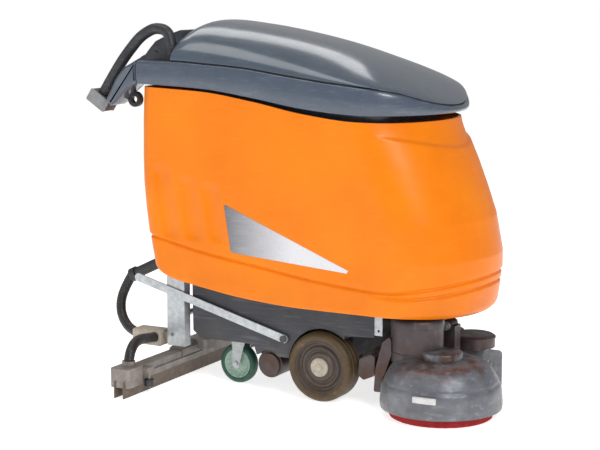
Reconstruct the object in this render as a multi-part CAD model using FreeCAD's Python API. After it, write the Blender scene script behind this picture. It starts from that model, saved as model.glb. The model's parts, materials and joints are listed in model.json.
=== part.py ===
"""Walk-behind wet and dry floor scrubber, modelled in millimetres.

+X is forward, +Y is the machine's left, +Z is up. Lengths along X are measured from the drive axle and
moved by SHIFT at the end, so the finished part stands on z = 0 with the middle of its length at X = 0.
"""

import FreeCAD, Part
import math
import os

V = FreeCAD.Vector
X_AXIS = V(1, 0, 0)
Y_AXIS = V(0, 1, 0)
Z_AXIS = V(0, 0, 1)
SIDES = {"right": -1, "left": 1}

# overall
REAR_END = -810.0
RUNNING = 0.05
GAP = 0.4

# orange tank shell
BODY_HALF = 280.0
BODY_WALL = 6.0
BODY_CORNER = 45.0
BODY_NOSE = 215.0
BODY_LEVELS = [
    (250, -552, 430),
    (300, -556, 455),
    (370, -562, 466),
    (450, -578, 466),
    (560, -592, 444),
    (640, -599, 415),
    (720, -600, 383),
    (830, -598, 333),
    (940, -592, 290),
]
BODY_TOP = [(-620, 931), (-374, 921), (-202, 898), (-36, 868), (126, 851), (250, 848), (480, 848)]
BODY_BOTTOM = [
    (-620, 385), (-540, 366), (-489, 345), (-381, 325), (-206, 301), (-36, 291), (288, 289), (480, 279),
]

# recovery tank, its rim and the domed lid
LID_HALF = 283.0
LID_WALL = 5.0
LID_REAR = -478.0
LID_FRONT = 342.0
LID_NOSE = 222.0
LID_TOP = [
    (-478, 1114), (-437, 1128), (-325, 1118), (-184, 1096), (-47, 1066),
    (87, 1024), (186, 984), (250, 952), (300, 922), (330, 902), (342, 893),
]
RIM_TOP = [
    (-600, 1008), (-470, 1008), (-367, 1003), (-230, 994), (-96, 977), (35, 961), (162, 948), (250, 932),
    (300, 910), (342, 886),
]
RIM_BOTTOM = [(-600, 938), (-368, 929), (-197, 908), (-30, 882), (99, 871), (200, 868), (342, 868)]
RIM_OVERHANG = 4.0
RIM_REAR = -600.0
TUB_WALL = 5.0
TUB_REAR = -455.0
TUB_FRONT = 195.0
TUB_HALF = 215.0
TUB_FLOOR = 625.0
TUB_CORNER = 50.0
SEAL_W = 12.0
SEAL_T = 2.4
LID_REST = SEAL_T + 2.2
HINGE_X = -468.0
HINGE_Z = 1096.0
HINGE_PIN_R = 4.0
HINGE_BARREL_R = 8.0
HINGE_KNUCKLE = 36.0
HINGE_EAR = 18.0
HINGE_REACH = 18.0

# filler cap on the rear wall
FILLER_Y = 150.0
FILLER_Z = 820.0
CAP_FILL_R = 38.0

# triangular plate on each flank
PLATE_CORNERS = [(-290, 585), (122, 419), (118, 411), (-262, 441), (-271, 446), (-293, 580)]
PLATE_THICK = 1.45

# chassis
CHASSIS_HALF = 205.0
CHASSIS_WALL = 5.0
CHASSIS_TOP = 345.0
CHASSIS_REAR = -455.0
CHASSIS_FRONT = 171.0
CASTER_DECK_Z = 148.0
TRAY_T = 6.0

# drive wheels
WHEEL_R = 106.0
TYRE_W = 85.0
WHEEL_OUT = 231.0
RIM_R = 80.0
RIM_W = 76.0
CAP_R = 28.5
SHAFT_R = 12.0
WELL_GAP = 8.0
MOTOR_X = -186.0
MOTOR_Z = 88.0
MOTOR_R = 42.0

# casters
CASTER_X = -315.0
CASTER_Y = 125.0
CASTER_TRAIL = 18.0
CASTER_R = 62.5
CASTER_W = 34.0
CASTER_CORE_R = 46.0
CASTER_LEG = 4.0
CASTER_AXLE_R = 5.0
KINGPIN_R = 8.0
CASTER_PLATE_T = 4.0

# scrub deck
DISC_R = 152.0
PAD_T = 24.0
PLATE_T = 9.0
DISC_XY = {"right": (377.0, -182.0), "left": (265.0, 105.0)}
DOME_R = {"right": 177.0, "left": 157.0}
DOME_WALL = 4.0
SKIRT_Z = 27.0
SKIRT_TOP = 106.0
DOME_TOP = 168.0
DOME_TOP_R = 92.0
SKIRT_SWELL = 2.0
SPINDLE_R = 11.0
GEARMOTOR_XY = {"right": (290.0, -160.0), "left": (366.0, 85.0)}
GEARMOTOR_R = {"right": 80.0, "left": 70.0}
GEARMOTOR_TOP = {"right": 283.0, "left": 188.0}
ARM_Y = -30.0
ARM_W = 12.0
ARM_SPREAD = 34.0
ARM_REAR = (196.0, 252.0)
ARM_FRONT = (338.0, 236.0)
ARM_PIN_R = 6.0
GEARBOX_R = 62.0
LATCH_ANGLE = -88.0
LATCH_Z = 88.0
LATCH_LONG = 70.0
LATCH_TALL = 18.0
BRACKET_PLATE = (422.0, 480.0, 38.0, 41.0, 40.0, 156.0)
BRACKET_HOLE = (441.0, 114.0, 8.0)
STAY_Y = (-216.0, -158.0)
STAY_OUTLINE = [(176, 52), (181, 120), (203, 202), (226, 222), (240, 190), (212, 110), (206, 52)]
STRUT_Y = (-206.0, -172.0)
STRUT_OUTLINE = [(120, 92), (138, 80), (174, 96), (174, 152), (162, 160), (124, 142)]
HANGER_Z = (218.0, 286.0)
HANGER_X = 26.0

# the right dome is the front-most piece, so the middle of the length follows from it
FRONT_END = DISC_XY["right"][0] + DOME_R["right"] + SKIRT_SWELL
SHIFT = -(REAR_END + FRONT_END) / 2

# squeegee and its carrier
SQ_X = -552.0
SQ_HALF = 475.0
SQ_BEAM_W = 44.0
SQ_BEAM_Z = (42.0, 84.0)
BLADE_T = 4.0
BLADE_H = 52.0
SWING_X = -525.0
SWING_PIN_R = 8.0
LIFT_X = -126.0
LIFT_Z = 178.0
BAR_Y = 214.0
BAR_T = 6.0
BAR_W = 25.0
BAR_REAR = (-648.0, 322.0)
LIFT_PIN_R = 7.0
BRACKET_W = 64.0
BRACKET_D = 34.0
BRACKET_T = 3.0
BRACKET_X = -513.0
BRACKET_FOOT = 114.0
BRACKET_TOP = 334.0
YOKE_Z = 208.0
YOKE_R = 9.0
ROLLER_R = 15.0
ROLLER_H = 22.0
ROLLER_Y = 372.0

# suction hose
HOSE_R = 16.0
CUFF_R = 17.5
HOSE_UPPER = [
    (-744, -110, 303), (-764, -117, 266), (-776, -127, 224), (-769, -139, 184),
    (-744, -151, 152), (-708, -162, 132), (-668, -171, 126),
]
HOSE_LOWER = [
    (-594, -212, 134), (-590, -246, 138), (-582, -284, 145), (-573, -324, 151),
    (-564, -362, 152), (-557, -393, 142), (-553, -413, 122), (-552, -420, 98),
]

# handle and console
BOW_Y = 222.0
BOW_R = 17.0
BOW_PATH = [
    (-762, 902), (-738, 938), (-684, 1014), (-622, 1080), (-570, 1107), (-522, 1099), (-508, 1047),
    (-512, 996),
]
BLOCK_AT = (-745.0, 880.0)
BLOCK_SIZE = (76.0, 60.0, 42.0)
BLOCK_TILT = 33.0
ARM_OUT = 283.0
CONSOLE_HALF = 190.0
PANEL_LOW = (-712.0, 978.0)
PANEL_HIGH = (-627.0, 1022.0)
TRIGGER_PIN = (-522.0, 1030.0)
TRIGGER_PIN_R = 3.0
TRIGGER_ROOM_R = 10.0
EYE_AT = (-655.0, 884.0)
ARM_OUTLINE = [
    (-640, 994), (-676, 958), (-704, 908), (-718, 888), (-700, 866), (-690, 872), (-672, 890), (-640, 922),
    (-612, 938),
]

# controls on the panel, as a share of its slope and a Y place; the display adds its width and depth
CONTROLS = {"start_button": (0.5, -60.0), "stop_button": (0.5, 120.0), "key_switch": (0.5, -125.0)}
DISPLAY = (0.5, 25.0, 84.0, 52.0)
BUTTON_R = 11.0
STOP_R = 17.0


def box(x0, x1, y0, y1, z0, z1):
    return Part.makeBox(x1 - x0, y1 - y0, z1 - z0, V(x0, y0, z0))


def rod(at, along, r, length):
    return Part.makeCylinder(r, length, V(*at), along)


def y_rod(x, z, r, y0, y1):
    return rod((x, min(y0, y1), z), Y_AXIS, r, abs(y1 - y0))


def z_rod(x, y, r, z0, z1):
    return rod((x, y, z0), Z_AXIS, r, z1 - z0)


def level(curve, x):
    """Height of a curve given as (x, z) points, straight between them."""
    if x <= curve[0][0]:
        return curve[0][1]
    for (x0, z0), (x1, z1) in zip(curve, curve[1:]):
        if x <= x1:
            return z0 + (z1 - z0) * (x - x0) / (x1 - x0)
    return curve[-1][1]


def side_prism(points, y0, y1):
    """Closed outline of (x, z) points carried along Y."""
    corners = [V(x, y0, z) for x, z in points]
    return Part.Face(Part.makePolygon(corners + corners[:1])).extrude(V(0, y1 - y0, 0))


def upright(shape, r):
    """Rounds the edges of a box that stand along Z."""
    tall = [e for e in shape.Edges if abs(e.tangentAt(e.FirstParameter).z) > 0.99]
    return shape.makeFillet(r, tall)


def eased(shape, r):
    """Rounds every edge of a plain shape."""
    return shape.makeFillet(r, shape.Edges)


def across(shape, r):
    """Rounds the edges that run along Y."""
    wide = [e for e in shape.Edges if abs(e.tangentAt(e.FirstParameter).y) > 0.99]
    return shape.makeFillet(r, wide)


def fused(shapes):
    first = shapes[0]
    return first.multiFuse(shapes[1:]).removeSplitter() if len(shapes) > 1 else first


def group(shapes):
    return Part.makeCompound(shapes)


def arc_path(points):
    """Straight runs joined by tangent arcs; returns the wire and its radii."""
    pts = [V(*p) for p in points]
    edges, used, start = [], [], pts[0]
    for a, b, c in zip(pts, pts[1:], pts[2:]):
        before, after = b - a, c - b
        turn = before.getAngle(after)
        r = 0.45 * min(before.Length, after.Length) / math.tan(turn / 2)
        back = r * math.tan(turn / 2)
        u, w = before.normalize(), after.normalize()
        first, last = b - u * back, b + w * back
        bisector = (w - u).normalize()
        centre = b + bisector * (r / math.cos(turn / 2))
        middle = centre - bisector * r
        edges.append(Part.LineSegment(start, first).toShape())
        edges.append(Part.Arc(first, middle, last).toShape())
        used.append(r)
        start = last
    edges.append(Part.LineSegment(start, pts[-1]).toShape())
    return Part.Wire(edges), used


def tube(points, r, name):
    """Round bar along a route; its volume is compared with its section times its length."""
    wire, radii = arc_path(points)
    along = V(*points[1]) - V(*points[0])
    circle = Part.Wire(Part.makeCircle(r, V(*points[0]), along))
    solid = wire.makePipeShell([circle], True, True)
    print(name, "length", round(wire.Length), "radii", [round(x) for x in radii])
    print(name, "volume ratio", round(solid.Volume / (math.pi * r * r * wire.Length), 3))
    return solid


def plan_wire(z, x0, x1, half, corner, nose):
    """Plan outline of the tank at one height: straight sides, round rear corners, elliptic nose."""
    xn = x1 - nose
    turns = [math.radians(-90 + 18 * i) for i in range(11)]
    points = [V(xn + nose * math.cos(t), half * math.sin(t), z) for t in turns]
    curve = Part.BSplineCurve()
    curve.interpolate(points, InitialTangent=X_AXIS, FinalTangent=V(-1, 0, 0))
    bend = corner * (1 - math.sqrt(0.5))
    rear = x0 + corner
    wide = half - corner
    return Part.Wire([
        curve.toShape(),
        Part.LineSegment(V(xn, half, z), V(rear, half, z)).toShape(),
        Part.Arc(V(rear, half, z), V(x0 + bend, half - bend, z), V(x0, wide, z)).toShape(),
        Part.LineSegment(V(x0, wide, z), V(x0, -wide, z)).toShape(),
        Part.Arc(V(x0, -wide, z), V(x0 + bend, bend - half, z), V(rear, -half, z)).toShape(),
        Part.LineSegment(V(rear, -half, z), V(xn, -half, z)).toShape(),
    ])


def tank_loft(inset):
    """Outer form of the tank, taken in by inset on every side."""
    wires = []
    for z, x0, x1 in BODY_LEVELS:
        corner = BODY_CORNER - inset
        wires.append(plan_wire(z, x0 + inset, x1 - inset, BODY_HALF - inset, corner, BODY_NOSE - inset))
    return Part.makeLoft(wires, True, False)


def solution_tank():
    shell = tank_loft(0).cut(tank_loft(BODY_WALL))
    profile = BODY_BOTTOM + BODY_TOP[::-1]
    shell = shell.common(side_prism(profile, -2 * BODY_HALF, 2 * BODY_HALF))
    port = rod((-640, FILLER_Y, FILLER_Z), X_AXIS, CAP_FILL_R - 8, 80)
    outlet = hose_cuff_bore(2.0)
    return shell.cut(port).cut(outlet)


def rear_wall(z):
    """X of the tank's outer rear wall at a height."""
    return level([(h, x0) for h, x0, x1 in BODY_LEVELS], z)


def filler_cap():
    x = rear_wall(FILLER_Z) - GAP
    flange = rod((x - 14, FILLER_Y, FILLER_Z), X_AXIS, CAP_FILL_R, 14)
    plug = rod((x, FILLER_Y, FILLER_Z), X_AXIS, CAP_FILL_R - 8.08, 16)
    grip = box(x - 22, x - 14, FILLER_Y - 6, FILLER_Y + 6, FILLER_Z - 26, FILLER_Z + 26)
    return fused([flange, plug, grip])


def lid_half(x):
    """Half width of the lid at a place along its length."""
    straight = LID_FRONT - LID_NOSE
    if x <= straight:
        return LID_HALF
    return max(LID_HALF * math.sqrt(max(1 - ((x - straight) / LID_NOSE) ** 2, 0)), 40.0)


def stations(x0, x1):
    """Places along X, closer together towards the nose."""
    straight = LID_FRONT - LID_NOSE
    plain = [x for x in (-600, -550, -437, -380, -325, -250, -184, -120, -47, 20, 87) if x0 < x < straight]
    curved = [straight + LID_NOSE * math.sin(math.radians(a)) for a in (0, 20, 36, 50, 62, 72, 80)]
    return [x0] + plain + [x for x in curved if x0 < x < x1 - 4] + [x1]


def crown(share):
    """Height of the dome over its edge, as a share of its rise, at a share of its half width."""
    return max(1 - share ** 2.4, 0) ** 0.62


def dome_loft(inset, drop):
    shares = [1.0, 0.96, 0.88, 0.76, 0.6, 0.4, 0.2]
    shares = [-s for s in shares] + [0.0] + shares[::-1]
    wires = []
    for x in stations(LID_REAR - 2 * inset + inset, LID_FRONT - inset):
        half = lid_half(min(x + inset, LID_FRONT)) - inset
        low = level(RIM_TOP, x) + LID_REST
        rise = level(LID_TOP, x) - inset - low
        rows = [V(x, half * s, low + rise * crown(abs(s))) for s in shares]
        foot = [V(x, half, low - drop), V(x, -half, low - drop)]
        wires.append(Part.makePolygon(rows + foot + rows[:1]))
    return Part.makeLoft(wires, True, True)


def lid():
    outer = dome_loft(0, 1.0)
    inner = dome_loft(LID_WALL, 40.0)
    back = box(LID_REAR - 20, LID_REAR + LID_WALL, -400, 400, 900, 1200)
    shell = outer.cut(inner).fuse(outer.common(back))
    for side in (-1, 1):
        y = side * (HINGE_KNUCKLE + HINGE_EAR / 2 + 1)
        wide = HINGE_EAR / 2 + 2
        shell = shell.cut(box(LID_REAR - 10, HINGE_X + 14, y - wide, y + wide, HINGE_Z - 16, 1200))
    barrel = y_rod(HINGE_X, HINGE_Z, HINGE_BARREL_R, -HINGE_KNUCKLE, HINGE_KNUCKLE)
    web = box(HINGE_X, HINGE_X + 16, -HINGE_KNUCKLE, HINGE_KNUCKLE, HINGE_Z, HINGE_Z + 12).common(outer)
    bore = y_rod(HINGE_X, HINGE_Z, HINGE_PIN_R + RUNNING, -90, 90)
    return fused([shell, barrel.common(outer), web]).cut(bore)


def lid_seal():
    """Flat seal between the lid's edge and the tank rim, stuck to the lid."""
    wires = []
    for inset in (0.6, SEAL_W):
        rows = []
        for x in stations(LID_REAR + inset, LID_FRONT - inset):
            rows.append((x, lid_half(min(x + inset, LID_FRONT)) - inset))
        wires.append(rows)
    outer = seal_slab(wires[0])
    return outer.cut(seal_slab(wires[1], 3.0))


def seal_slab(rows, extra=0.0):
    wires = []
    for x, half in rows:
        low = level(RIM_TOP, x) + 1 - extra
        high = level(RIM_TOP, x) + 1 + SEAL_T + extra
        corners = [V(x, -half, low), V(x, half, low), V(x, half, high), V(x, -half, high)]
        wires.append(Part.makePolygon(corners + corners[:1]))
    return Part.makeLoft(wires, True, True)


def recovery_tank():
    wires = []
    for x in stations(RIM_REAR, LID_FRONT + RIM_OVERHANG):
        half = lid_half(min(x, LID_FRONT)) + RIM_OVERHANG
        low, high = level(RIM_BOTTOM, x), level(RIM_TOP, x)
        bulge = (low + high) / 2
        corners = [
            V(x, -half + 8, low), V(x, half - 8, low), V(x, half + 3, bulge), V(x, half - 1, high),
            V(x, 1 - half, high), V(x, -half - 3, bulge),
        ]
        wires.append(Part.makePolygon(corners + corners[:1]))
    rim = Part.makeLoft(wires, True, True)
    w = TUB_WALL
    top = level(RIM_BOTTOM, TUB_REAR) + 10
    outer = upright(box(TUB_REAR - w, TUB_FRONT + w, -TUB_HALF - w, TUB_HALF + w, TUB_FLOOR, top), TUB_CORNER)
    outer = outer.cut(above_rim())
    inner = upright(box(TUB_REAR, TUB_FRONT, -TUB_HALF, TUB_HALF, TUB_FLOOR + w, 1100), TUB_CORNER - w)
    return rim.fuse(outer).cut(inner)


def above_rim():
    """Everything over the middle of the rim, so that the tub's wall ends inside the rim."""
    stations = (-700, -400, -200, 0, 100, 200, 400)
    points = [(x, (level(RIM_BOTTOM, x) + level(RIM_TOP, x)) / 2) for x in stations]
    return side_prism(points + [(400, 1300), (-700, 1300)], -400, 400)


def on_panel(share, y):
    """Point on the sloping panel and the panel's outward normal."""
    x = PANEL_LOW[0] + (PANEL_HIGH[0] - PANEL_LOW[0]) * share
    z = PANEL_LOW[1] + (PANEL_HIGH[1] - PANEL_LOW[1]) * share
    slope = math.atan2(PANEL_HIGH[1] - PANEL_LOW[1], PANEL_HIGH[0] - PANEL_LOW[0])
    return V(x, y, z), V(-math.sin(slope), 0, math.cos(slope))


def panel_bore(name, r, depth):
    share, y = CONTROLS[name]
    at, out = on_panel(share, y)
    return Part.makeCylinder(r, depth + 5, at - out * depth, out)


def console():
    front = HINGE_X - HINGE_BARREL_R - HINGE_REACH
    x, z = PANEL_LOW
    outline = [
        (x - 6, z - 14), PANEL_LOW, PANEL_HIGH, (-612, 1040), (-589, 1064), (-544, 1085), (front, 1101),
        (front, level(RIM_TOP, front) + GAP), (RIM_REAR, level(RIM_TOP, RIM_REAR) + GAP), (-640, 988),
        (x + 28, z - 26),
    ]
    body = across(side_prism(outline, -CONSOLE_HALF, CONSOLE_HALF), 3)
    for side in (-1, 1):
        y = side * (HINGE_KNUCKLE + HINGE_EAR / 2 + 1)
        ear = box(front - 6, HINGE_X, y - HINGE_EAR / 2, y + HINGE_EAR / 2, HINGE_Z - 8, HINGE_Z + 6)
        knuckle = y_rod(HINGE_X, HINGE_Z, HINGE_BARREL_R - 1, y - HINGE_EAR / 2, y + HINGE_EAR / 2)
        body = body.fuse(ear).fuse(knuckle)
    body = body.cut(y_rod(HINGE_X, HINGE_Z, HINGE_PIN_R, -90, 90))
    body = body.cut(panel_bore("start_button", BUTTON_R + 0.08, 14))
    body = body.cut(panel_bore("stop_button", STOP_R - 6.92, 14))
    body = body.cut(panel_bore("key_switch", 8.08, 14))
    return body.cut(display_slab(0.0, 5.0))


def display_slab(inset, height):
    share, y, wide, deep = DISPLAY
    at, out = on_panel(share, y)
    slab = Part.makeBox(deep - 2 * inset, wide - 2 * inset, height, V(inset - deep / 2, inset - wide / 2, -3))
    tilt = math.degrees(math.atan2(-out.x, out.z))
    slab.rotate(V(0, 0, 0), Y_AXIS, -tilt)
    slab.translate(at)
    return slab


def start_button():
    share, y = CONTROLS["start_button"]
    at, out = on_panel(share, y)
    return Part.makeCylinder(BUTTON_R, 14, at - out * 8, out)


def stop_button():
    share, y = CONTROLS["stop_button"]
    at, out = on_panel(share, y)
    stem = Part.makeCylinder(STOP_R - 7, 16, at - out * 9, out)
    head = Part.makeCylinder(STOP_R, 9, at + out * 6, out)
    top = max(head.Faces, key=lambda f: f.CenterOfMass.dot(out))
    return stem.fuse(head.makeFillet(3.5, top.Edges))


def key_switch():
    share, y = CONTROLS["key_switch"]
    at, out = on_panel(share, y)
    barrel = Part.makeCylinder(8, 15, at - out * 13, out)
    blade = Part.makeBox(22, 3, 16, V(-11, -1.5, 1))
    blade = across(blade, 4)
    blade.rotate(V(0, 0, 0), Y_AXIS, -math.degrees(math.atan2(-out.x, out.z)))
    blade.translate(at)
    return barrel.fuse(blade)


def handle_frame():
    """Grey arms that carry on from the rim, curve down behind the tank and hold the bows."""
    near = RIM_REAR - GAP
    outline = [(near, level(RIM_TOP, near) - 1)] + ARM_OUTLINE + [(near, level(RIM_BOTTOM, near) + 2)]
    arms = []
    for side in (-1, 1):
        y0, y1 = sorted((side * (CONSOLE_HALF + 3), side * ARM_OUT))
        arms.append(side_prism(outline, y0, y1))
        x, z = EYE_AT
        arms.append(y_rod(x, z, 24, side * 196, side * 214).cut(y_rod(x, z, 10, side * 190, side * 220)))
    bridge = box(-660, near, -ARM_OUT + 20, ARM_OUT - 20, 945, 962)
    return fused(arms + [bridge]).cut(console_space())


def console_space():
    return box(-760, -400, -CONSOLE_HALF - GAP, CONSOLE_HALF + GAP, 963, 1200)


def end_block(side):
    length, wide, tall = BLOCK_SIZE
    block = eased(Part.makeBox(length, wide, tall, V(-length / 2, -wide / 2, -tall / 2)), 4)
    block.rotate(V(0, 0, 0), Y_AXIS, BLOCK_TILT)
    block.translate(V(BLOCK_AT[0], side * BOW_Y, BLOCK_AT[1]))
    reach = block.BoundBox.XMin
    block.translate(V(REAR_END - reach, 0, 0))
    return block


def handle_bow(side):
    path = [(x, side * BOW_Y, z) for x, z in BOW_PATH]
    bow = tube(path, BOW_R, "handle bow")
    x, z = TRIGGER_PIN
    ear = [y_rod(x, z, 9, side * BOW_Y + a, side * BOW_Y + a + 4) for a in (-9, 5)]
    web = [box(x, x + 14, side * BOW_Y + a, side * BOW_Y + a + 4, z - 8, z + 8) for a in (-9, 5)]
    pin = y_rod(x, z, TRIGGER_PIN_R, side * BOW_Y - 9, side * BOW_Y + 9)
    room = y_rod(x, z, TRIGGER_ROOM_R, side * BOW_Y - 5 - GAP / 2, side * BOW_Y + 5 + GAP / 2)
    bow = bow.cut(room)
    bow = fused([bow] + ear + web + [pin])
    return bow.cut(end_block(side)).cut(under_rim())


def under_rim():
    points = [(x, level(RIM_TOP, x) + GAP) for x in (-600, -470, -400)]
    return side_prism([(-600, 900), (-400, 900)] + points[::-1], -400, 400)


def trigger(side):
    """Curved finger lever that turns on a pin at the foot of the bow."""
    x, z = TRIGGER_PIN
    outline = [(x + 2, z - 6), (x - 20, z - 10), (x - 44, z - 8), (x - 52, z + 6), (x - 45, z + 9),
               (x - 38, z), (x - 20, z + 1), (x - 2, z + 6)]
    blade = side_prism(outline, side * BOW_Y - 4.6, side * BOW_Y + 4.6)
    hub = y_rod(x, z, 7.5, side * BOW_Y - 4.6, side * BOW_Y + 4.6)
    bore = y_rod(x, z, TRIGGER_PIN_R + RUNNING, side * BOW_Y - 20, side * BOW_Y + 20)
    return blade.fuse(hub).cut(bore)


def side_plates():
    """Thin triangular plate on each side of the tank."""
    plates = []
    for side in (-1, 1):
        y0, y1 = sorted((side * (BODY_HALF + RUNNING), side * (BODY_HALF + RUNNING + PLATE_THICK)))
        plates.append(side_prism(PLATE_CORNERS, y0, y1))
    return group(plates)


def chassis_tub():
    c = CHASSIS_WALL
    outline = [
        (CHASSIS_REAR, CHASSIS_TOP), (CHASSIS_REAR + 2, 170), (-425, CASTER_DECK_Z), (-236, CASTER_DECK_Z),
        (-226, 118), (60, 118), (74, 205), (CHASSIS_FRONT, 212), (CHASSIS_FRONT, CHASSIS_TOP),
    ]
    h = CHASSIS_HALF
    outer = side_prism(outline, -h, h)
    hollow = [
        (CHASSIS_REAR + c, CHASSIS_TOP + 9), (CHASSIS_REAR + c + 2, 174), (-422, CASTER_DECK_Z + c),
        (-232, CASTER_DECK_Z + c), (-222, 190), (66, 190), (72, 210 + c), (CHASSIS_FRONT - c, 212 + c),
        (CHASSIS_FRONT - c, CHASSIS_TOP + 9),
    ]
    tub = outer.cut(side_prism(hollow, c - h, h - c))
    r = WHEEL_R + WELL_GAP
    inside = WHEEL_OUT - TYRE_W - WELL_GAP
    for side in (-1, 1):
        well = y_rod(0, WHEEL_R, r + c, side * (inside - c), side * h).common(outer)
        tub = tub.fuse(well)
    for side in (-1, 1):
        tub = tub.cut(y_rod(0, WHEEL_R, r, side * inside, side * (h + 10)))
        x = CASTER_X
        tub = tub.cut(z_rod(x, side * CASTER_Y, KINGPIN_R + 6, 100, 200))
    tub = tub.cut(y_rod(MOTOR_X, MOTOR_Z, MOTOR_R + 4, -h - 5, 120))
    tub = tub.cut(y_rod(0, WHEEL_R, 52, -inside - 9, inside + 9))
    tub = tub.cut(box(MOTOR_X - 46, 52, -110, 110, 60, 150))
    lugs = [lift_lug(side) for side in (-1, 1)]
    for y in (ARM_Y - ARM_SPREAD - 14, ARM_Y + ARM_SPREAD + 4):
        lug = box(CHASSIS_FRONT - 1, ARM_REAR[0], y, y + 10, ARM_REAR[1] - 14, ARM_REAR[1] + 14)
        lugs.append(lug.fuse(y_rod(ARM_REAR[0], ARM_REAR[1], 14, y, y + 10)))
    tub = fused([tub, battery_tray()] + lugs)
    return tub.cut(y_rod(ARM_REAR[0], ARM_REAR[1], ARM_PIN_R, -200, 200))


def lift_lug(side):
    """Boss and pin on the chassis side that the squeegee bar turns on."""
    boss = y_rod(LIFT_X, LIFT_Z, 15, side * (CHASSIS_HALF - 3), side * (BAR_Y - BAR_T / 2 - GAP))
    pin = y_rod(LIFT_X, LIFT_Z, LIFT_PIN_R, side * CHASSIS_HALF, side * (BAR_Y + BAR_T / 2 + 1))
    head = y_rod(LIFT_X, LIFT_Z, 11, side * (BAR_Y + BAR_T / 2 + GAP), side * (BAR_Y + BAR_T / 2 + 5))
    return fused([boss, pin, head])


def hinge_pins():
    """The lid's pin and the deck arm's rear pin."""
    reach = ARM_SPREAD + 17
    lid_pin = y_rod(HINGE_X, HINGE_Z, HINGE_PIN_R, -56, 56)
    return group([lid_pin, y_rod(ARM_REAR[0], ARM_REAR[1], ARM_PIN_R, ARM_Y - reach, ARM_Y + reach)])


def battery_tray():
    """Deck plate welded over the tub, under the batteries."""
    tray = box(CHASSIS_REAR + 5, CHASSIS_FRONT - 5, -240, 240, CHASSIS_TOP - 1, CHASSIS_TOP + TRAY_T)
    return upright(tray, 20)


def battery_pack():
    """Four blocks in two rows, standing on the tray."""
    low = CHASSIS_TOP + TRAY_T + 0.3
    blocks = []
    for x in (CHASSIS_REAR + 12, CHASSIS_REAR + 217):
        for y in (-178, 6):
            block = upright(box(x, x + 195, y, y + 172, low, low + 210), 6)
            posts = [z_rod(x + a, y + 30, 8, low + 209, low + 220) for a in (30, 165)]
            blocks.append(fused([block] + posts))
    return group(blocks)


def suction_motor():
    low = CHASSIS_TOP + TRAY_T + 0.3
    body = z_rod(60, 0, 70, low, low + 110)
    cap = z_rod(60, 0, 45, low + 110, low + 160)
    return body.fuse(cap)


def transaxle():
    """Gear case, axle tubes and traction motor, bolted up as one unit."""
    half = WHEEL_OUT - TYRE_W - WELL_GAP - 10
    tube_part = y_rod(0, WHEEL_R, 40, -half, half)
    case = y_rod(0, WHEEL_R, 50, -30, 40).fuse(y_rod(MOTOR_X, MOTOR_Z, 46, 12, 40))
    slant = [(MOTOR_X, MOTOR_Z - 40), (MOTOR_X, MOTOR_Z + 40), (0, WHEEL_R + 44), (0, WHEEL_R - 46)]
    slant = side_prism(slant, 12, 40)
    motor = y_rod(MOTOR_X, MOTOR_Z, MOTOR_R, -190, 100)
    end = y_rod(MOTOR_X, MOTOR_Z, MOTOR_R - 8, -197, -190)
    bore = y_rod(0, WHEEL_R, SHAFT_R + RUNNING, -300, 300)
    return fused([tube_part, case, slant, motor, end]).cut(bore)


def revolved(profile, x, z):
    """Outline of (radius, y) points turned about the wheel's axle through (x, z)."""
    corners = [V(x + r, y, z) for r, y in profile]
    face = Part.Face(Part.makePolygon(corners + corners[:1]))
    return face.revolve(V(x, 0, z), Y_AXIS, 360)


def tyre(side):
    out, w = WHEEL_OUT, TYRE_W
    r = WHEEL_R
    profile = [(RIM_R, out - w + 4), (r - 14, out - w), (r - 4, out - w + 5), (r, out - w + 15),
               (r, out - 15), (r - 4, out - 5), (r - 14, out), (RIM_R, out - 4)]
    return revolved([(a, side * b) for a, b in profile], 0, WHEEL_R)


def wheel_rim(side):
    """Wheel centre pressed and welded on its drive shaft."""
    out = WHEEL_OUT - (TYRE_W - RIM_W) / 2
    low = out - RIM_W
    r = RIM_R - 0.1
    profile = [(SHAFT_R, low + 8), (40, low + 8), (64, low + 2), (r, low), (r, out - 2), (r - 6, out - 3),
               (r - 14, out - 14), (46, out - 12), (40, out - 6), (SHAFT_R, out - 6)]
    rim = revolved([(a, side * b) for a, b in profile], 0, WHEEL_R)
    return rim.fuse(y_rod(0, WHEEL_R, SHAFT_R, side * 42, side * (WHEEL_OUT - 12)))


def hub_cap(side):
    out = WHEEL_OUT - (TYRE_W - RIM_W) / 2 - 5.8
    profile = [(0, out), (CAP_R, out), (CAP_R, out + 5), (CAP_R - 8, out + 8), (9, out + 9), (0, out + 9)]
    return revolved([(a, side * b) for a, b in profile], 0, WHEEL_R)


def caster_plate(side):
    y = side * CASTER_Y
    low = CASTER_DECK_Z - CASTER_PLATE_T - 0.3
    plate = upright(box(CASTER_X - 46, CASTER_X + 46, y - 40, y + 40, low, low + CASTER_PLATE_T), 8)
    return plate.cut(z_rod(CASTER_X, y, KINGPIN_R + RUNNING, 100, 200))


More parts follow.
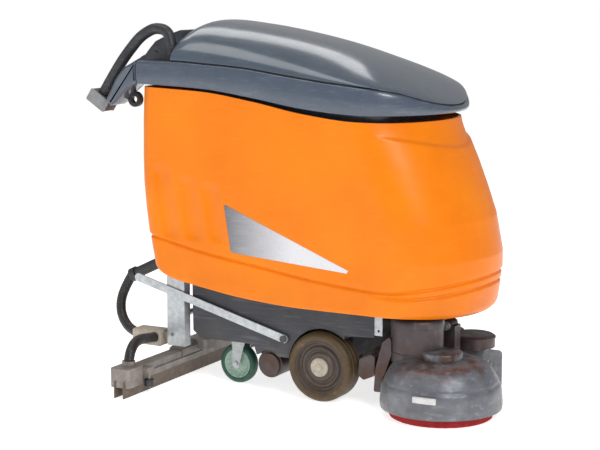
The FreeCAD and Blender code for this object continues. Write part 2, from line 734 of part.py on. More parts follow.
def caster_fork(side):
    y = side * CASTER_Y
    top = CASTER_DECK_Z - CASTER_PLATE_T - 1.0
    half = CASTER_W / 2 + 3
    x = CASTER_X - CASTER_TRAIL
    bridge = box(x - 14, CASTER_X, y - half - CASTER_LEG, y + half + CASTER_LEG, top - 6, top)
    crown_plate = z_rod(CASTER_X, y, 30, top - 6, top).fuse(bridge)
    legs = []
    for a in (-half - CASTER_LEG, half):
        outline = [(CASTER_X + 16, top - 1), (x - 14, top - 1), (x - 12, CASTER_R), (x + 12, CASTER_R - 2)]
        leg = side_prism(outline, y + a, y + a + CASTER_LEG)
        legs.append(leg.fuse(y_rod(x, CASTER_R, 13, y + a, y + a + CASTER_LEG)))
    kingpin = z_rod(CASTER_X, y, KINGPIN_R, top - 3, top + 18)
    nut = z_rod(CASTER_X, y, KINGPIN_R + 4, top + 18, top + 24)
    axle = y_rod(x, CASTER_R, CASTER_AXLE_R, y - half - 9, y + half + 9)
    heads = [y_rod(x, CASTER_R, 8, y + s * (half + 4), y + s * (half + 9)) for s in (-1, 1)]
    return fused([crown_plate, kingpin, nut, axle] + legs + heads)


def caster_tyre(side):
    x, y = CASTER_X - CASTER_TRAIL, side * CASTER_Y
    r, w = CASTER_R, CASTER_W / 2
    core = CASTER_CORE_R
    profile = [(core, -w + 2), (r - 8, -w), (r, -w + 7), (r, w - 7), (r - 8, w), (core, w - 2)]
    return revolved([(a, y + b) for a, b in profile], x, CASTER_R)


def caster_core(side):
    x, y = CASTER_X - CASTER_TRAIL, side * CASTER_Y
    w = CASTER_W / 2 - 3
    bore = CASTER_AXLE_R + RUNNING
    profile = [(bore, -w - 4), (14, -w - 4), (16, -w + 3), (36, -w + 3), (CASTER_CORE_R - 0.1, -w),
               (CASTER_CORE_R - 0.1, w), (36, w - 3), (16, w - 3), (14, w + 4), (bore, w + 4)]
    return revolved([(a, y + b) for a, b in profile], x, CASTER_R)


def turned(profile, x, y):
    """Outline of (radius, z) points turned about an upright axis through (x, y)."""
    corners = [V(x + r, y, z) for r, z in profile]
    face = Part.Face(Part.makePolygon(corners + corners[:1]))
    return face.revolve(V(x, y, 0), Z_AXIS, 360)


def dome_form(side_name, inset):
    """Bell over one disc: an upright skirt, a sloping shoulder and a flat top."""
    x, y = DISC_XY[side_name]
    r = DOME_R[side_name] - inset
    low = SKIRT_Z - (60 if inset else 0)
    top, shoulder = DOME_TOP - inset, SKIRT_TOP - inset
    profile = [(0, low), (r, low), (r + SKIRT_SWELL, SKIRT_Z + 20), (r, SKIRT_TOP - 14), (r - 7, shoulder),
               (r - 34, shoulder + 46), (DOME_TOP_R - inset, top), (0, top)]
    return turned(profile, x, y)


def deck_dome(side_name):
    """One cover of the deck; the left one stops short of the right one."""
    other = "left" if side_name == "right" else "right"
    shell = dome_form(side_name, 0).cut(dome_form(side_name, DOME_WALL))
    if side_name == "left":
        shell = shell.cut(dome_form(other, -GAP)).cut(dome_form(other, 0.1))
    x, y = DISC_XY[side_name]
    shell = shell.cut(z_rod(x, y, SPINDLE_R + 8, 100, 300))
    if side_name == "right":
        shell = shell.cut(disc_room("left"))
    return shell


def disc_room(side_name):
    """Space that one disc needs, with its clearance."""
    x, y = DISC_XY[side_name]
    return z_rod(x, y, DISC_R + 1.5, -10, SKIRT_TOP - 8)


def gearmotor(side_name):
    """Brush motor that stands on the dome, with its foot flange."""
    x, y = GEARMOTOR_XY[side_name]
    dx, dy = DISC_XY[side_name]
    r, top = GEARMOTOR_R[side_name], GEARMOTOR_TOP[side_name]
    foot = DOME_TOP - 30
    profile = [(0, foot), (r, foot), (r, top - 14), (r - 5, top - 4), (r - 16, top), (0, top)]
    body = turned(profile, x, y)
    gearbox = z_rod(dx, dy, GEARBOX_R, DOME_TOP + GAP, DOME_TOP + 22)
    housing = fused([body, gearbox])
    for name in SIDES:
        housing = housing.cut(dome_form(name, -GAP))
    socket = z_rod(dx, dy, SPINDLE_R + RUNNING, 100, DOME_TOP + 14)
    return housing.cut(socket)


def drive_plate(side_name):
    """Disc that holds the pad, with its spindle up into the gearbox."""
    x, y = DISC_XY[side_name]
    plate = z_rod(x, y, DISC_R - 6, PAD_T + 0.3, PAD_T + PLATE_T)
    hub = z_rod(x, y, 30, PAD_T + PLATE_T, 120)
    return fused([plate, hub, z_rod(x, y, SPINDLE_R, 110, DOME_TOP + 12)])


def pad(side_name):
    x, y = DISC_XY[side_name]
    disc = z_rod(x, y, DISC_R, 0, PAD_T).cut(z_rod(x, y, 30, -5, PAD_T + 5))
    return disc


def deck_frame():
    """Bridge over both domes, with the ears that the lift arm holds."""
    x, z = ARM_FRONT
    y0, y1 = ARM_Y - ARM_SPREAD + 12, ARM_Y + ARM_SPREAD - 12
    post = box(x - 26, x + 26, y0, y1, DOME_TOP + GAP - 60, z).fuse(y_rod(x, z, 16, y0, y1))
    foot = box(x - 40, x + 60, y0 - 60, y1 + 30, 120, 128)
    frame = clear_of_domes(post.fuse(foot))
    return frame.cut(y_rod(x, z, ARM_PIN_R + RUNNING, y0 - 5, y1 + 5))


def clear_of_domes(shape):
    """Cuts a deck piece back from both domes and both motors."""
    for name in SIDES:
        shape = shape.cut(dome_form(name, -GAP))
        x, y = GEARMOTOR_XY[name]
        shape = shape.cut(z_rod(x, y, GEARMOTOR_R[name] + GAP, 40, 300))
        x, y = DISC_XY[name]
        shape = shape.cut(z_rod(x, y, GEARBOX_R + GAP, DOME_TOP - 1, 300))
    return largest(shape)


def largest(shape):
    return sorted(shape.Solids, key=lambda s: -s.Volume)[0]


def deck_stay():
    """Side stay that closes the deck behind the right dome, and the strut from it to the wheel."""
    stay = clear_of_domes(across(side_prism(STAY_OUTLINE, *STAY_Y), 5))
    strut = across(side_prism(STRUT_OUTLINE, *STRUT_Y), 6)
    return [stay, strut]


def lift_arm():
    """Pair of arms and a cross tube between the chassis and the deck."""
    (x0, z0), (x1, z1) = ARM_REAR, ARM_FRONT
    pieces = []
    for y in (ARM_Y - ARM_SPREAD, ARM_Y + ARM_SPREAD - ARM_W + 2):
        y1 = y + ARM_W - 2
        bar = side_prism([(x0, z0 - 12), (x0, z0 + 12), (x1, z1 + 12), (x1, z1 - 12)], y, y1)
        pieces += [bar, y_rod(x0, z0, 13, y, y1), y_rod(x1, z1, 13, y, y1)]
    xm, zm = (x0 * 0.62 + x1 * 0.38), (z0 * 0.62 + z1 * 0.38)
    pieces.append(y_rod(xm, zm, 9, ARM_Y - ARM_SPREAD, ARM_Y + ARM_SPREAD))
    arm = fused(pieces).cut(y_rod(x0, z0, ARM_PIN_R + RUNNING, -200, 200))
    reach = ARM_SPREAD + 3
    return arm.fuse(y_rod(x1, z1, ARM_PIN_R, ARM_Y - reach, ARM_Y + reach))


def front_bracket():
    """Galvanised guard plate at the front of the deck, with its roller hole."""
    plate = across(box(*BRACKET_PLATE), 12)
    x0, _, y0, y1, _, z1 = BRACKET_PLATE
    wing = box(x0 - 24, x0 + 14, y0, y0 + 8, z1 - 56, z1 - 14)
    hx, hz, hr = BRACKET_HOLE
    bracket = plate.fuse(wing).cut(y_rod(hx, hz, hr, y0 - 10, y1 + 20))
    return clear_of_domes(bracket)


def latch_place():
    """Point on the right dome's skirt where the latch turns, and the outward direction there."""
    x, y = DISC_XY["right"]
    t = math.radians(LATCH_ANGLE)
    out = V(math.cos(t), math.sin(t), 0)
    return V(x, y, LATCH_Z) + out * (DOME_R["right"] + SKIRT_SWELL / 2), out


def dome_latch():
    """Pale lever that turns on a stud and holds the splash skirt."""
    at, out = latch_place()
    along = Z_AXIS.cross(out)
    stud = Part.makeCylinder(7, 13, at, out)
    grip = Part.makeBox(LATCH_LONG, 9, LATCH_TALL, V(-14, 5, -LATCH_TALL / 2))
    grip = eased(grip, 3)
    matrix = FreeCAD.Matrix(
        along.x, out.x, 0, at.x, along.y, out.y, 0, at.y, along.z, out.z, 1, at.z, 0, 0, 0, 1)
    grip = grip.transformGeometry(matrix)
    return stud.fuse(grip)


def lift_bar(side):
    x1, z1 = BAR_REAR
    tilt = math.atan2(z1 - LIFT_Z, x1 - LIFT_X)
    dx, dz = -math.sin(tilt) * BAR_W / 2, math.cos(tilt) * BAR_W / 2
    y0, y1 = sorted((side * (BAR_Y - BAR_T / 2), side * (BAR_Y + BAR_T / 2)))
    outline = [(LIFT_X + dx, LIFT_Z + dz), (LIFT_X - dx, LIFT_Z - dz), (x1 - dx, z1 - dz), (x1 + dx, z1 + dz)]
    flat = side_prism(outline, y0, y1)
    ends = [y_rod(LIFT_X, LIFT_Z, BAR_W / 2, y0, y1), y_rod(x1, z1, BAR_W / 2, y0, y1)]
    return fused([flat] + ends).cut(y_rod(LIFT_X, LIFT_Z, LIFT_PIN_R + RUNNING, y0 - 5, y1 + 5))


def swing_yoke():
    """Cross tube between the two brackets, with the plate and pin that the squeegee swings on."""
    inner = BAR_Y - BAR_T / 2 - BRACKET_T - 0.2
    cross = y_rod(BRACKET_X, YOKE_Z, YOKE_R, -inner, inner)
    foot = upright(box(SWING_X - 24, SWING_X + 30, -26, 26, BRACKET_FOOT, BRACKET_FOOT + 6), 10)
    ribs = []
    for y in (-24, 18):
        outline = [(SWING_X - 20, BRACKET_FOOT), (SWING_X + 26, BRACKET_FOOT), (BRACKET_X + 8, YOKE_Z),
                   (BRACKET_X - 8, YOKE_Z)]
        ribs.append(side_prism(outline, y, y + 6))
    pin = z_rod(SWING_X, 0, SWING_PIN_R, 62, BRACKET_FOOT + 16)
    return fused([cross, foot, pin] + ribs)


def squeegee_bracket(side):
    """Galvanised channel that hangs from one lift bar; the cross tube ends in it."""
    t, d = BRACKET_T, BRACKET_D
    x0, x1 = BRACKET_X - BRACKET_W / 2, BRACKET_X + BRACKET_W / 2
    face = BAR_Y - BAR_T / 2 - 0.1
    y0, y1 = sorted((side * face, side * (face - t)))
    w0, w1 = sorted((side * face, side * (face - d)))
    web = box(x0, x1, y0, y1, BRACKET_FOOT, BRACKET_TOP)
    rear = box(x0, x0 + t, w0, w1, BRACKET_FOOT, BRACKET_TOP)
    front = box(x1 - t, x1, w0, w1, BRACKET_FOOT, BRACKET_TOP)
    foot = box(x0, x1, w0, w1, BRACKET_FOOT, BRACKET_FOOT + t)
    channel = fused([web, rear, front, foot])
    return channel.cut(y_rod(BRACKET_X - 14, 150, 6, side * 150, side * 230))


def hose_socket(end, before, extra):
    """Round space along the last run of a hose, with its clearance."""
    end, before = V(*end), V(*before)
    back = (before - end).normalize()
    return Part.makeCylinder(HOSE_R + extra, 60, end + back * -0.4, back)


def hose_coupler():
    """Pale elbow on the right bracket where the two hose runs meet."""
    (x0, y0, z0) = HOSE_UPPER[-1]
    (x1, y1, z1) = HOSE_LOWER[0]
    body = box(x0 - 10, x1 + 24, y1 - 2, y0 + 22, z0 - 21, z1 + 21)
    body = body.makeFillet(8, body.Edges)
    web = box(x1 + 20, BRACKET_X - BRACKET_W / 2 - 0.1, y0 - 18, y0 + 8, z0 - 4, z0 + 22)
    body = body.fuse(web)
    body = body.cut(hose_socket(HOSE_UPPER[-1], HOSE_UPPER[-2], 0.4))
    return body.cut(hose_socket(HOSE_LOWER[0], HOSE_LOWER[1], 0.4))


def hose_clip():
    """Band round the upper hose where it enters the coupler."""
    end, before = V(*HOSE_UPPER[-1]), V(*HOSE_UPPER[-2])
    back = (before - end).normalize()
    outer = Part.makeCylinder(HOSE_R + 4, 7, end + back * 12, back)
    return outer.cut(Part.makeCylinder(HOSE_R + 1.5, 40, end + back * -5, back))


def cuff_line():
    start = V(-575, HOSE_UPPER[0][1], 384)
    end = V(*HOSE_UPPER[0])
    return start, (end - start)


def hose_cuff_bore(extra):
    start, run = cuff_line()
    unit = V(run).normalize()
    return Part.makeCylinder(CUFF_R + extra, 130, start - unit * 70, unit)


def hose_cuff():
    """Rigid outlet elbow from the tank's rear wall down to the upper hose."""
    start, run = cuff_line()
    unit = V(run).normalize()
    body = Part.makeCylinder(CUFF_R, run.Length + 30 - 0.4, start - unit * 30, unit)
    collar = Part.makeCylinder(22, 22, start + unit * (run.Length - 24), unit)
    return body.fuse(collar).cut(hose_socket(HOSE_UPPER[0], HOSE_UPPER[1], 0.2))


def squeegee_beam():
    """Cast beam with its raised middle, the swing plate behind it and the end blocks."""
    low, high = SQ_BEAM_Z
    w = SQ_BEAM_W / 2
    end = SQ_HALF - 5
    outline = [
        V(SQ_X - w, -end, 0), V(SQ_X + w, -end, 0), V(SQ_X + w, end, 0), V(SQ_X - w, end, 0),
    ]
    beam = Part.Face(Part.makePolygon(outline + outline[:1])).extrude(V(0, 0, high - low))
    beam.translate(V(0, 0, low))
    middle = box(SQ_X - w - 4, SQ_X + w + 4, -150, 150, low + 24, high + 14)
    middle = middle.makeChamfer(10, [e for e in middle.Edges if e.CenterOfMass.z > high + 12])
    plate = upright(box(SQ_X - w, SWING_X + 34, -62, 62, 72, 104), 16)
    extras = [middle, plate]
    for s in (-1, 1):
        block = box(SQ_X - w - 14, SQ_X + w + 12, *sorted((s * 386, s * end)), low - 10, high + 6)
        arm = box(SQ_X + w - 4, SQ_X + w + 26, *sorted((s * 352, s * 392)), low + 26, low + 38)
        post = z_rod(SQ_X + w + 20, s * ROLLER_Y, 5, 18, low + 30)
        extras += [upright(block, 10), arm, post]
    beam = fused([beam] + extras)
    beam = beam.cut(z_rod(SWING_X, 0, SWING_PIN_R + RUNNING, 40, 140))
    beam = beam.cut(blade_slab(-1, 0.1)).cut(blade_slab(1, 0.1))
    port = z_rod(HOSE_LOWER[-1][0], HOSE_LOWER[-1][1], 20, high - 2, HOSE_LOWER[-1][2] + 8)
    return beam.fuse(port).cut(hose_socket(HOSE_LOWER[-1], HOSE_LOWER[-2], 0.4))


def blade_slab(side, extra=0.0):
    """Rubber blade: the rear one is side -1, the front one is side 1."""
    x = SQ_X + side * (SQ_BEAM_W / 2 - 6)
    return box(x - BLADE_T / 2 - extra, x + BLADE_T / 2 + extra, -SQ_HALF, SQ_HALF, 0, BLADE_H + extra)


def blade_strips():
    """Clamp strips that press the blades on the beam's two faces."""
    strips = []
    for side in (-1, 1):
        x = SQ_X + side * (SQ_BEAM_W / 2 + 2.2)
        strips.append(box(x - 2, x + 2, -380, 380, SQ_BEAM_Z[0] + 2, SQ_BEAM_Z[0] + 20))
    return group(strips)


def wing_knobs():
    """Knobs that clamp the rear strip."""
    knobs = []
    for y in (-320, -200, 200, 320):
        x = SQ_X - SQ_BEAM_W / 2 - 4.4
        stem = rod((x, y, SQ_BEAM_Z[0] + 11), V(-1, 0, 0), 9, 8)
        wing = box(x - 14, x - 6, y - 12, y + 12, SQ_BEAM_Z[0] + 8, SQ_BEAM_Z[0] + 14)
        knobs.append(stem.fuse(wing))
    return group(knobs)


def end_roller(side):
    x, y = SQ_X + SQ_BEAM_W / 2 + 20, side * ROLLER_Y
    body = z_rod(x, y, ROLLER_R, 22, 22 + ROLLER_H)
    body = body.makeFillet(3, [e for e in body.Edges if e.Closed and len(e.Vertexes) == 1])
    return body.cut(z_rod(x, y, 5 + RUNNING, 0, 90))


def deck_hanger():
    """Galvanised angle on the chassis front, at the right side."""
    x = CHASSIS_FRONT
    z0, z1 = HANGER_Z
    web = box(x + 0.2, x + HANGER_X, -203, -200, z0, z1)
    flange = box(x + 0.2, x + 3.2, -203, -176, z0, z1)
    return web.fuse(flange).cut(y_rod(x + 14, z0 + 14, 4, -210, -190))


def build():
    nodes = {
        "solution_tank": solution_tank(),
        "recovery_tank": recovery_tank(),
        "lid": lid(),
        "lid_seal": lid_seal(),
        "hinge_pins": hinge_pins(),
        "console": console(),
        "display_lens": display_slab(0.3, 2.8),
        "start_button": start_button(),
        "stop_button": stop_button(),
        "key_switch": key_switch(),
        "handle_frame": handle_frame(),
        "handle_end_blocks": group([end_block(s) for s in SIDES.values()]),
        "side_plates": side_plates(),
        "filler_cap": filler_cap(),
        "chassis_tub": chassis_tub(),
        "battery_pack": battery_pack(),
        "suction_motor": suction_motor(),
        "transaxle": transaxle(),
        "caster_plates": group([caster_plate(s) for s in SIDES.values()]),
        "deck_hanger": deck_hanger(),
        "lift_arm": lift_arm(),
        "deck_frame": group([deck_frame()] + deck_stay()),
        "front_bracket": front_bracket(),
        "dome_latch": dome_latch(),
        "lift_frame": group([lift_bar(-1), lift_bar(1), swing_yoke()]),
        "squeegee_brackets": group([squeegee_bracket(s) for s in SIDES.values()]),
        "hose_coupler": group([hose_coupler(), hose_clip()]),
        "hose_cuff": hose_cuff(),
        "upper_hose": tube(HOSE_UPPER, HOSE_R, "upper hose"),
        "lower_hose": tube(HOSE_LOWER, HOSE_R, "lower hose"),
        "squeegee_beam": squeegee_beam(),
        "squeegee_blades": group([blade_slab(s) for s in (-1, 1)]),
        "blade_strips": blade_strips(),
        "wing_knobs": wing_knobs(),
    }
    for name, side in SIDES.items():
        nodes["handle_bow_" + name] = handle_bow(side)
        nodes["trigger_" + name] = trigger(side)
        nodes["drive_tyre_" + name] = tyre(side)
        nodes["drive_rim_" + name] = wheel_rim(side)
        nodes["hub_cap_" + name] = hub_cap(side)
        nodes["caster_fork_" + name] = caster_fork(side)
        nodes["caster_tyre_" + name] = caster_tyre(side)
        nodes["caster_core_" + name] = caster_core(side)
        nodes["deck_dome_" + name] = deck_dome(name)
        nodes["brush_motor_" + name] = gearmotor(name)
        nodes["drive_plate_" + name] = drive_plate(name)
        nodes["pad_" + name] = pad(name)
        nodes["end_roller_" + name] = end_roller(side)
    return nodes


def main():
    os.makedirs("parts", exist_ok=True)
    nodes = build()
    low, high = [1e9] * 3, [-1e9] * 3
    for name, shape in nodes.items():
        shape = shape.copy()
        shape.translate(V(SHIFT, 0, 0))
        shape.exportStep("parts/" + name + ".step")
        b = shape.BoundBox
        low = [min(a, c) for a, c in zip(low, (b.XMin, b.YMin, b.ZMin))]
        high = [max(a, c) for a, c in zip(high, (b.XMax, b.YMax, b.ZMax))]
        if not shape.isValid() or not shape.Solids:
            print("NOT SOUND:", name, shape.isValid(), len(shape.Solids))
    print(len(nodes), "nodes, box", [round(v, 1) for v in low], [round(v, 1) for v in high])


if __name__ == "__main__":
    main()
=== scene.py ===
"""Walk-behind wet and dry floor scrubber in a plain studio.

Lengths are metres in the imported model's own frame. Shapes are given from the drive axle forwards, because
the machine is laid out from it, and are moved to the frame by AXLE_X as each mesh is made.
"""

import json
import logging
import math
from dataclasses import dataclass, field
from enum import Enum
from typing import Iterable, Sequence

import bmesh
import bpy
import numpy as np
from mathutils import Matrix, Vector

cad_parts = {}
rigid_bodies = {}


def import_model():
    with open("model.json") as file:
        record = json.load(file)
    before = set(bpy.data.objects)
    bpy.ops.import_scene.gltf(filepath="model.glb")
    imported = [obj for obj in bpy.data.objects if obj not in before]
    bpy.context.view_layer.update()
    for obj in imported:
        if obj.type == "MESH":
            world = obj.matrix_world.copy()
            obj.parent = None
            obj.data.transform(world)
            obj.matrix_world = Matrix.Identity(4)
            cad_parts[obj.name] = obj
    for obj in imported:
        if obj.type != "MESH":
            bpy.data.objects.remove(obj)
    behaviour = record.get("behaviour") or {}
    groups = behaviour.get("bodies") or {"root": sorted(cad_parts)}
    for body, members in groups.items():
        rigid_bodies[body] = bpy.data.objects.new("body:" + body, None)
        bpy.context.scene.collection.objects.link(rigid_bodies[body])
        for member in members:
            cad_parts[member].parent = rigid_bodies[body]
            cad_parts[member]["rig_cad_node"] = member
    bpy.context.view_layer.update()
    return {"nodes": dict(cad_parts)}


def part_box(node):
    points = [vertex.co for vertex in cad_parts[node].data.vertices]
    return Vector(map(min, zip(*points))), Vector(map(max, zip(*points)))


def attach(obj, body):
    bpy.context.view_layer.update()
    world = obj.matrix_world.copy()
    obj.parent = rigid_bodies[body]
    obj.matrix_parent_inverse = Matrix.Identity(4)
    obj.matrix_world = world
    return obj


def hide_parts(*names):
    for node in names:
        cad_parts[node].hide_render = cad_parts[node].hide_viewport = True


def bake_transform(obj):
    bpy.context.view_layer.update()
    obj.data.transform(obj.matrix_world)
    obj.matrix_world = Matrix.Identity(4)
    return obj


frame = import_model()
LOG = logging.getLogger("scrubber")


def middle_x(name: str) -> float:
    """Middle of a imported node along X."""
    low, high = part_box(name)
    return (low.x + high.x) / 2


AXLE_X = middle_x("drive_tyre_right")
SIDES = {"right": -1, "left": 1}
Points = np.ndarray


# ---------------------------------------------------------------- shapes

def curve_at(points: Sequence[tuple[float, float]], x: Points) -> Points:
    """Height of a smooth line through given points, which never passes over or under them.

    Cubic Hermite pieces between the points. A point's slope is the harmonic mean of the two runs beside it,
    and 0 where the line turns back.

    Args:
        points: (x, z) pairs in rising x.
        x: Places to read.

    Returns:
        The heights, held level past both ends.
    """
    p = np.asarray(points, float)
    run = np.diff(p[:, 1]) / np.diff(p[:, 0])
    same = run[:-1] * run[1:] > 0
    mean = np.where(same, 2 * run[:-1] * run[1:] / np.where(same, run[:-1] + run[1:], 1), 0)
    slope = np.concatenate([run[:1], mean, run[-1:]])
    x = np.clip(x, p[0, 0], p[-1, 0])
    i = np.clip(np.searchsorted(p[:, 0], x) - 1, 0, len(p) - 2)
    h = p[i + 1, 0] - p[i, 0]
    t = (x - p[i, 0]) / h
    near = (2 * t**3 - 3 * t**2 + 1) * p[i, 1] + (t**3 - 2 * t**2 + t) * h * slope[i]
    far = (3 * t**2 - 2 * t**3) * p[i + 1, 1] + (t**3 - t**2) * h * slope[i + 1]
    return near + far


def ease(x: Points, start: float, end: float) -> Points:
    """0 before start, 1 after end, and the smooth cubic 3t^2 - 2t^3 between."""
    t = np.clip((x - start) / (end - start), 0, 1)
    return t * t * (3 - 2 * t)


def mesh_piece(
    name: str, points: Points, faces: Iterable, body: str | None, smooth: float = 35.0,
) -> bpy.types.Object:
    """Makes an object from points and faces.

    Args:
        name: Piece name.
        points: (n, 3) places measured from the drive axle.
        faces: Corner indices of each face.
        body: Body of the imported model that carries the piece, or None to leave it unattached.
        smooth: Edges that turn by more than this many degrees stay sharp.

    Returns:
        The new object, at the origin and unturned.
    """
    moved = np.asarray(points, float).reshape(-1, 3) + (AXLE_X, 0, 0)
    mesh = bpy.data.meshes.new(name)
    mesh.from_pydata(moved.tolist(), [], [tuple(int(i) for i in f) for f in faces])
    mesh.validate()
    mesh.polygons.foreach_set("use_smooth", np.ones(len(mesh.polygons), bool))
    mesh.set_sharp_from_angle(angle=math.radians(smooth))
    piece = bpy.data.objects.new(name, mesh)
    bpy.context.scene.collection.objects.link(piece)
    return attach(piece, body) if body else piece


def grid_faces(rows: int, columns: int, wrap_rows: bool, wrap_columns: bool) -> Points:
    """Quads of a grid whose points are stored row by row; a wrapped way joins its last line to its first.

    Args:
        rows: Points one way.
        columns: Points the other way.
        wrap_rows: Whether the rows close.
        wrap_columns: Whether the columns close.

    Returns:
        Four point numbers for each face.
    """
    r = np.arange(rows if wrap_rows else rows - 1)
    c = np.arange(columns if wrap_columns else columns - 1)
    i, j = np.meshgrid(r, c, indexing="ij")
    up, over = (i + 1) % rows, (j + 1) % columns
    corners = [i * columns + j, i * columns + over, up * columns + over, up * columns + j]
    return np.stack(corners, -1).reshape(-1, 4)


def surface(
    name: str, grid: Points, body: str, wrap_rows: bool = False, wrap_columns: bool = False,
    caps: bool = False, flip: bool = False, smooth: float = 35.0,
) -> bpy.types.Object:
    """Makes a piece from a grid of points.

    Args:
        name: Piece name.
        grid: (rows, columns, 3) places.
        body: Body that carries it.
        wrap_rows: Joins the last row to the first.
        wrap_columns: Joins the last column to the first.
        caps: Closes the first and last rows with a fan to their middle.
        flip: Turns the faces over.
        smooth: Sharpness limit in degrees.

    Returns:
        The piece.
    """
    rows, columns = grid.shape[:2]
    faces = grid_faces(rows, columns, wrap_rows, wrap_columns).tolist()
    points = grid.reshape(-1, 3)
    if caps:
        start, end = len(points), len(points) + 1
        points = np.vstack([points, grid[0].mean(0), grid[-1].mean(0)])
        ring = np.arange(columns)
        after = (ring + 1) % columns
        faces += [(b, a, start) for a, b in zip(ring, after)]
        last = (rows - 1) * columns
        faces += [(last + a, last + b, end) for a, b in zip(ring, after)]
    if flip:
        faces = [f[::-1] for f in faces]
    return mesh_piece(name, points, faces, body, smooth)


def lathe(
    name: str, profile: Sequence[tuple[float, float]], centre: Sequence[float], axis: str, body: str,
    closed: bool = True, segments: int = 96, smooth: float = 35.0,
) -> bpy.types.Object:
    """Turns a profile about an axis through a centre.

    Point = centre + radius * (cos a, sin a) across the axis + height along it, for angle a all the way round.

    Args:
        name: Piece name.
        profile: (radius, height) points.
        centre: Point on the axis, from the drive axle.
        axis: "y" for wheels or "z" for upright pieces.
        body: Body that carries it.
        closed: True where the profile is a closed loop, False where it starts and ends on the axis.
        segments: Steps round the turn.
        smooth: Sharpness limit in degrees.

    Returns:
        The piece.
    """
    p = np.asarray(profile, float)
    a = np.linspace(0, 2 * np.pi, segments, endpoint=False)
    r, h = p[:, 0][:, None], p[:, 1][:, None]
    u, v, w = r * np.cos(a), r * np.sin(a), h + 0 * a
    order = (u, w, -v) if axis == "y" else (u, v, w)
    grid = np.stack(order, -1) + np.asarray(centre, float)
    piece = surface(name, grid, body, wrap_rows=closed, wrap_columns=True, smooth=smooth)
    merge_and_face_out(piece)
    return piece


def merge_and_face_out(piece: bpy.types.Object, distance: float = 1e-5) -> None:
    """Joins doubled points and points every face outwards.

    Args:
        piece: Closed piece.
        distance: Points closer than this become one.
    """
    work = bmesh.new()
    work.from_mesh(piece.data)
    bmesh.ops.remove_doubles(work, verts=work.verts, dist=distance)
    bmesh.ops.dissolve_degenerate(work, dist=1e-7, edges=work.edges)
    bmesh.ops.recalc_face_normals(work, faces=work.faces)
    work.to_mesh(piece.data)
    work.free()


def rounded(outline: Sequence[tuple[float, float]], radius: float, steps: int = 5) -> Points:
    """Closed outline with each corner eased by a parabola that starts and ends radius away from it.

    Args:
        outline: Corners in order.
        radius: Distance from a corner at which its curve starts.
        steps: Points on each curve.

    Returns:
        The eased outline.
    """
    p = np.asarray(outline, float)
    before, after = np.roll(p, 1, 0) - p, np.roll(p, -1, 0) - p
    lb, la = np.linalg.norm(before, axis=1), np.linalg.norm(after, axis=1)
    reach = np.minimum(radius, 0.48 * np.minimum(lb, la))[:, None]
    start, end = p + before / lb[:, None] * reach, p + after / la[:, None] * reach
    t = np.linspace(0, 1, steps)[None, :, None]
    bend = (1 - t) ** 2 * start[:, None] + 2 * t * (1 - t) * p[:, None] + t**2 * end[:, None]
    return bend.reshape(-1, 2)


def inward(outline: Points) -> Points:
    """Unit normals of a closed outline that point to its inside.

    Args:
        outline: Points in order.

    Returns:
        One normal for each point.
    """
    along = np.roll(outline, -1, 0) - np.roll(outline, 1, 0)
    along /= np.maximum(np.linalg.norm(along, axis=1), 1e-12)[:, None]
    area = np.sum(outline[:, 0] * np.roll(outline[:, 1], -1) - np.roll(outline[:, 0], -1) * outline[:, 1])
    return np.stack([-along[:, 1], along[:, 0]], -1) * np.sign(area)


def slab(
    name: str, outline: Points, low: float, high: float, body: str, bevel: float = 0.002,
    matrix: Matrix | None = None, smooth: float = 35.0,
) -> bpy.types.Object:
    """Carries a closed (x, z) outline along Y, with both rims eased by a quarter round.

    Args:
        name: Piece name.
        outline: Closed outline.
        low: Start along Y.
        high: End along Y.
        body: Body that carries it.
        bevel: Radius of the rims.
        matrix: Turns the finished slab, where it doesn't lie along Y.
        smooth: Sharpness limit in degrees.

    Returns:
        The piece.
    """
    normal = inward(outline)
    angles = np.linspace(0, np.pi / 2, 4)
    inset = bevel * (1 - np.sin(angles))
    depth = bevel * (1 - np.cos(angles))
    insets = np.concatenate([inset, inset[::-1]])
    places = np.concatenate([low + depth, high - depth[::-1]])
    flat = outline[None] + normal[None] * insets[:, None, None]
    grid = np.stack([flat[..., 0], np.broadcast_to(places[:, None], flat.shape[:2]), flat[..., 1]], -1)
    if matrix is not None:
        grid = grid @ np.array(matrix.to_3x3()).T + np.array(matrix.translation)
    rows, columns = grid.shape[:2]
    faces = grid_faces(rows, columns, False, True).tolist()
    faces.append(list(range(columns))[::-1])
    faces.append([(rows - 1) * columns + i for i in range(columns)])
    piece = mesh_piece(name, grid, faces, body, smooth)
    merge_and_face_out(piece, 1e-6)
    return piece


def transported(path: Points) -> tuple[Points, Points]:
    """Two unit vectors across a path at each point, turned no more than the path turns.

    Args:
        path: Points in order.

    Returns:
        The two vectors at each point.
    """
    along = np.gradient(path, axis=0)
    along /= np.linalg.norm(along, axis=1)[:, None]
    first = np.cross(along[0], (0.0, 1.0, 0.0))
    if np.linalg.norm(first) < 0.2:
        first = np.cross(along[0], (1.0, 0.0, 0.0))
    across = [first / np.linalg.norm(first)]
    for direction in along[1:]:
        step = across[-1] - direction * np.dot(across[-1], direction)
        across.append(step / np.linalg.norm(step))
    one = np.array(across)
    return one, np.cross(along, one)


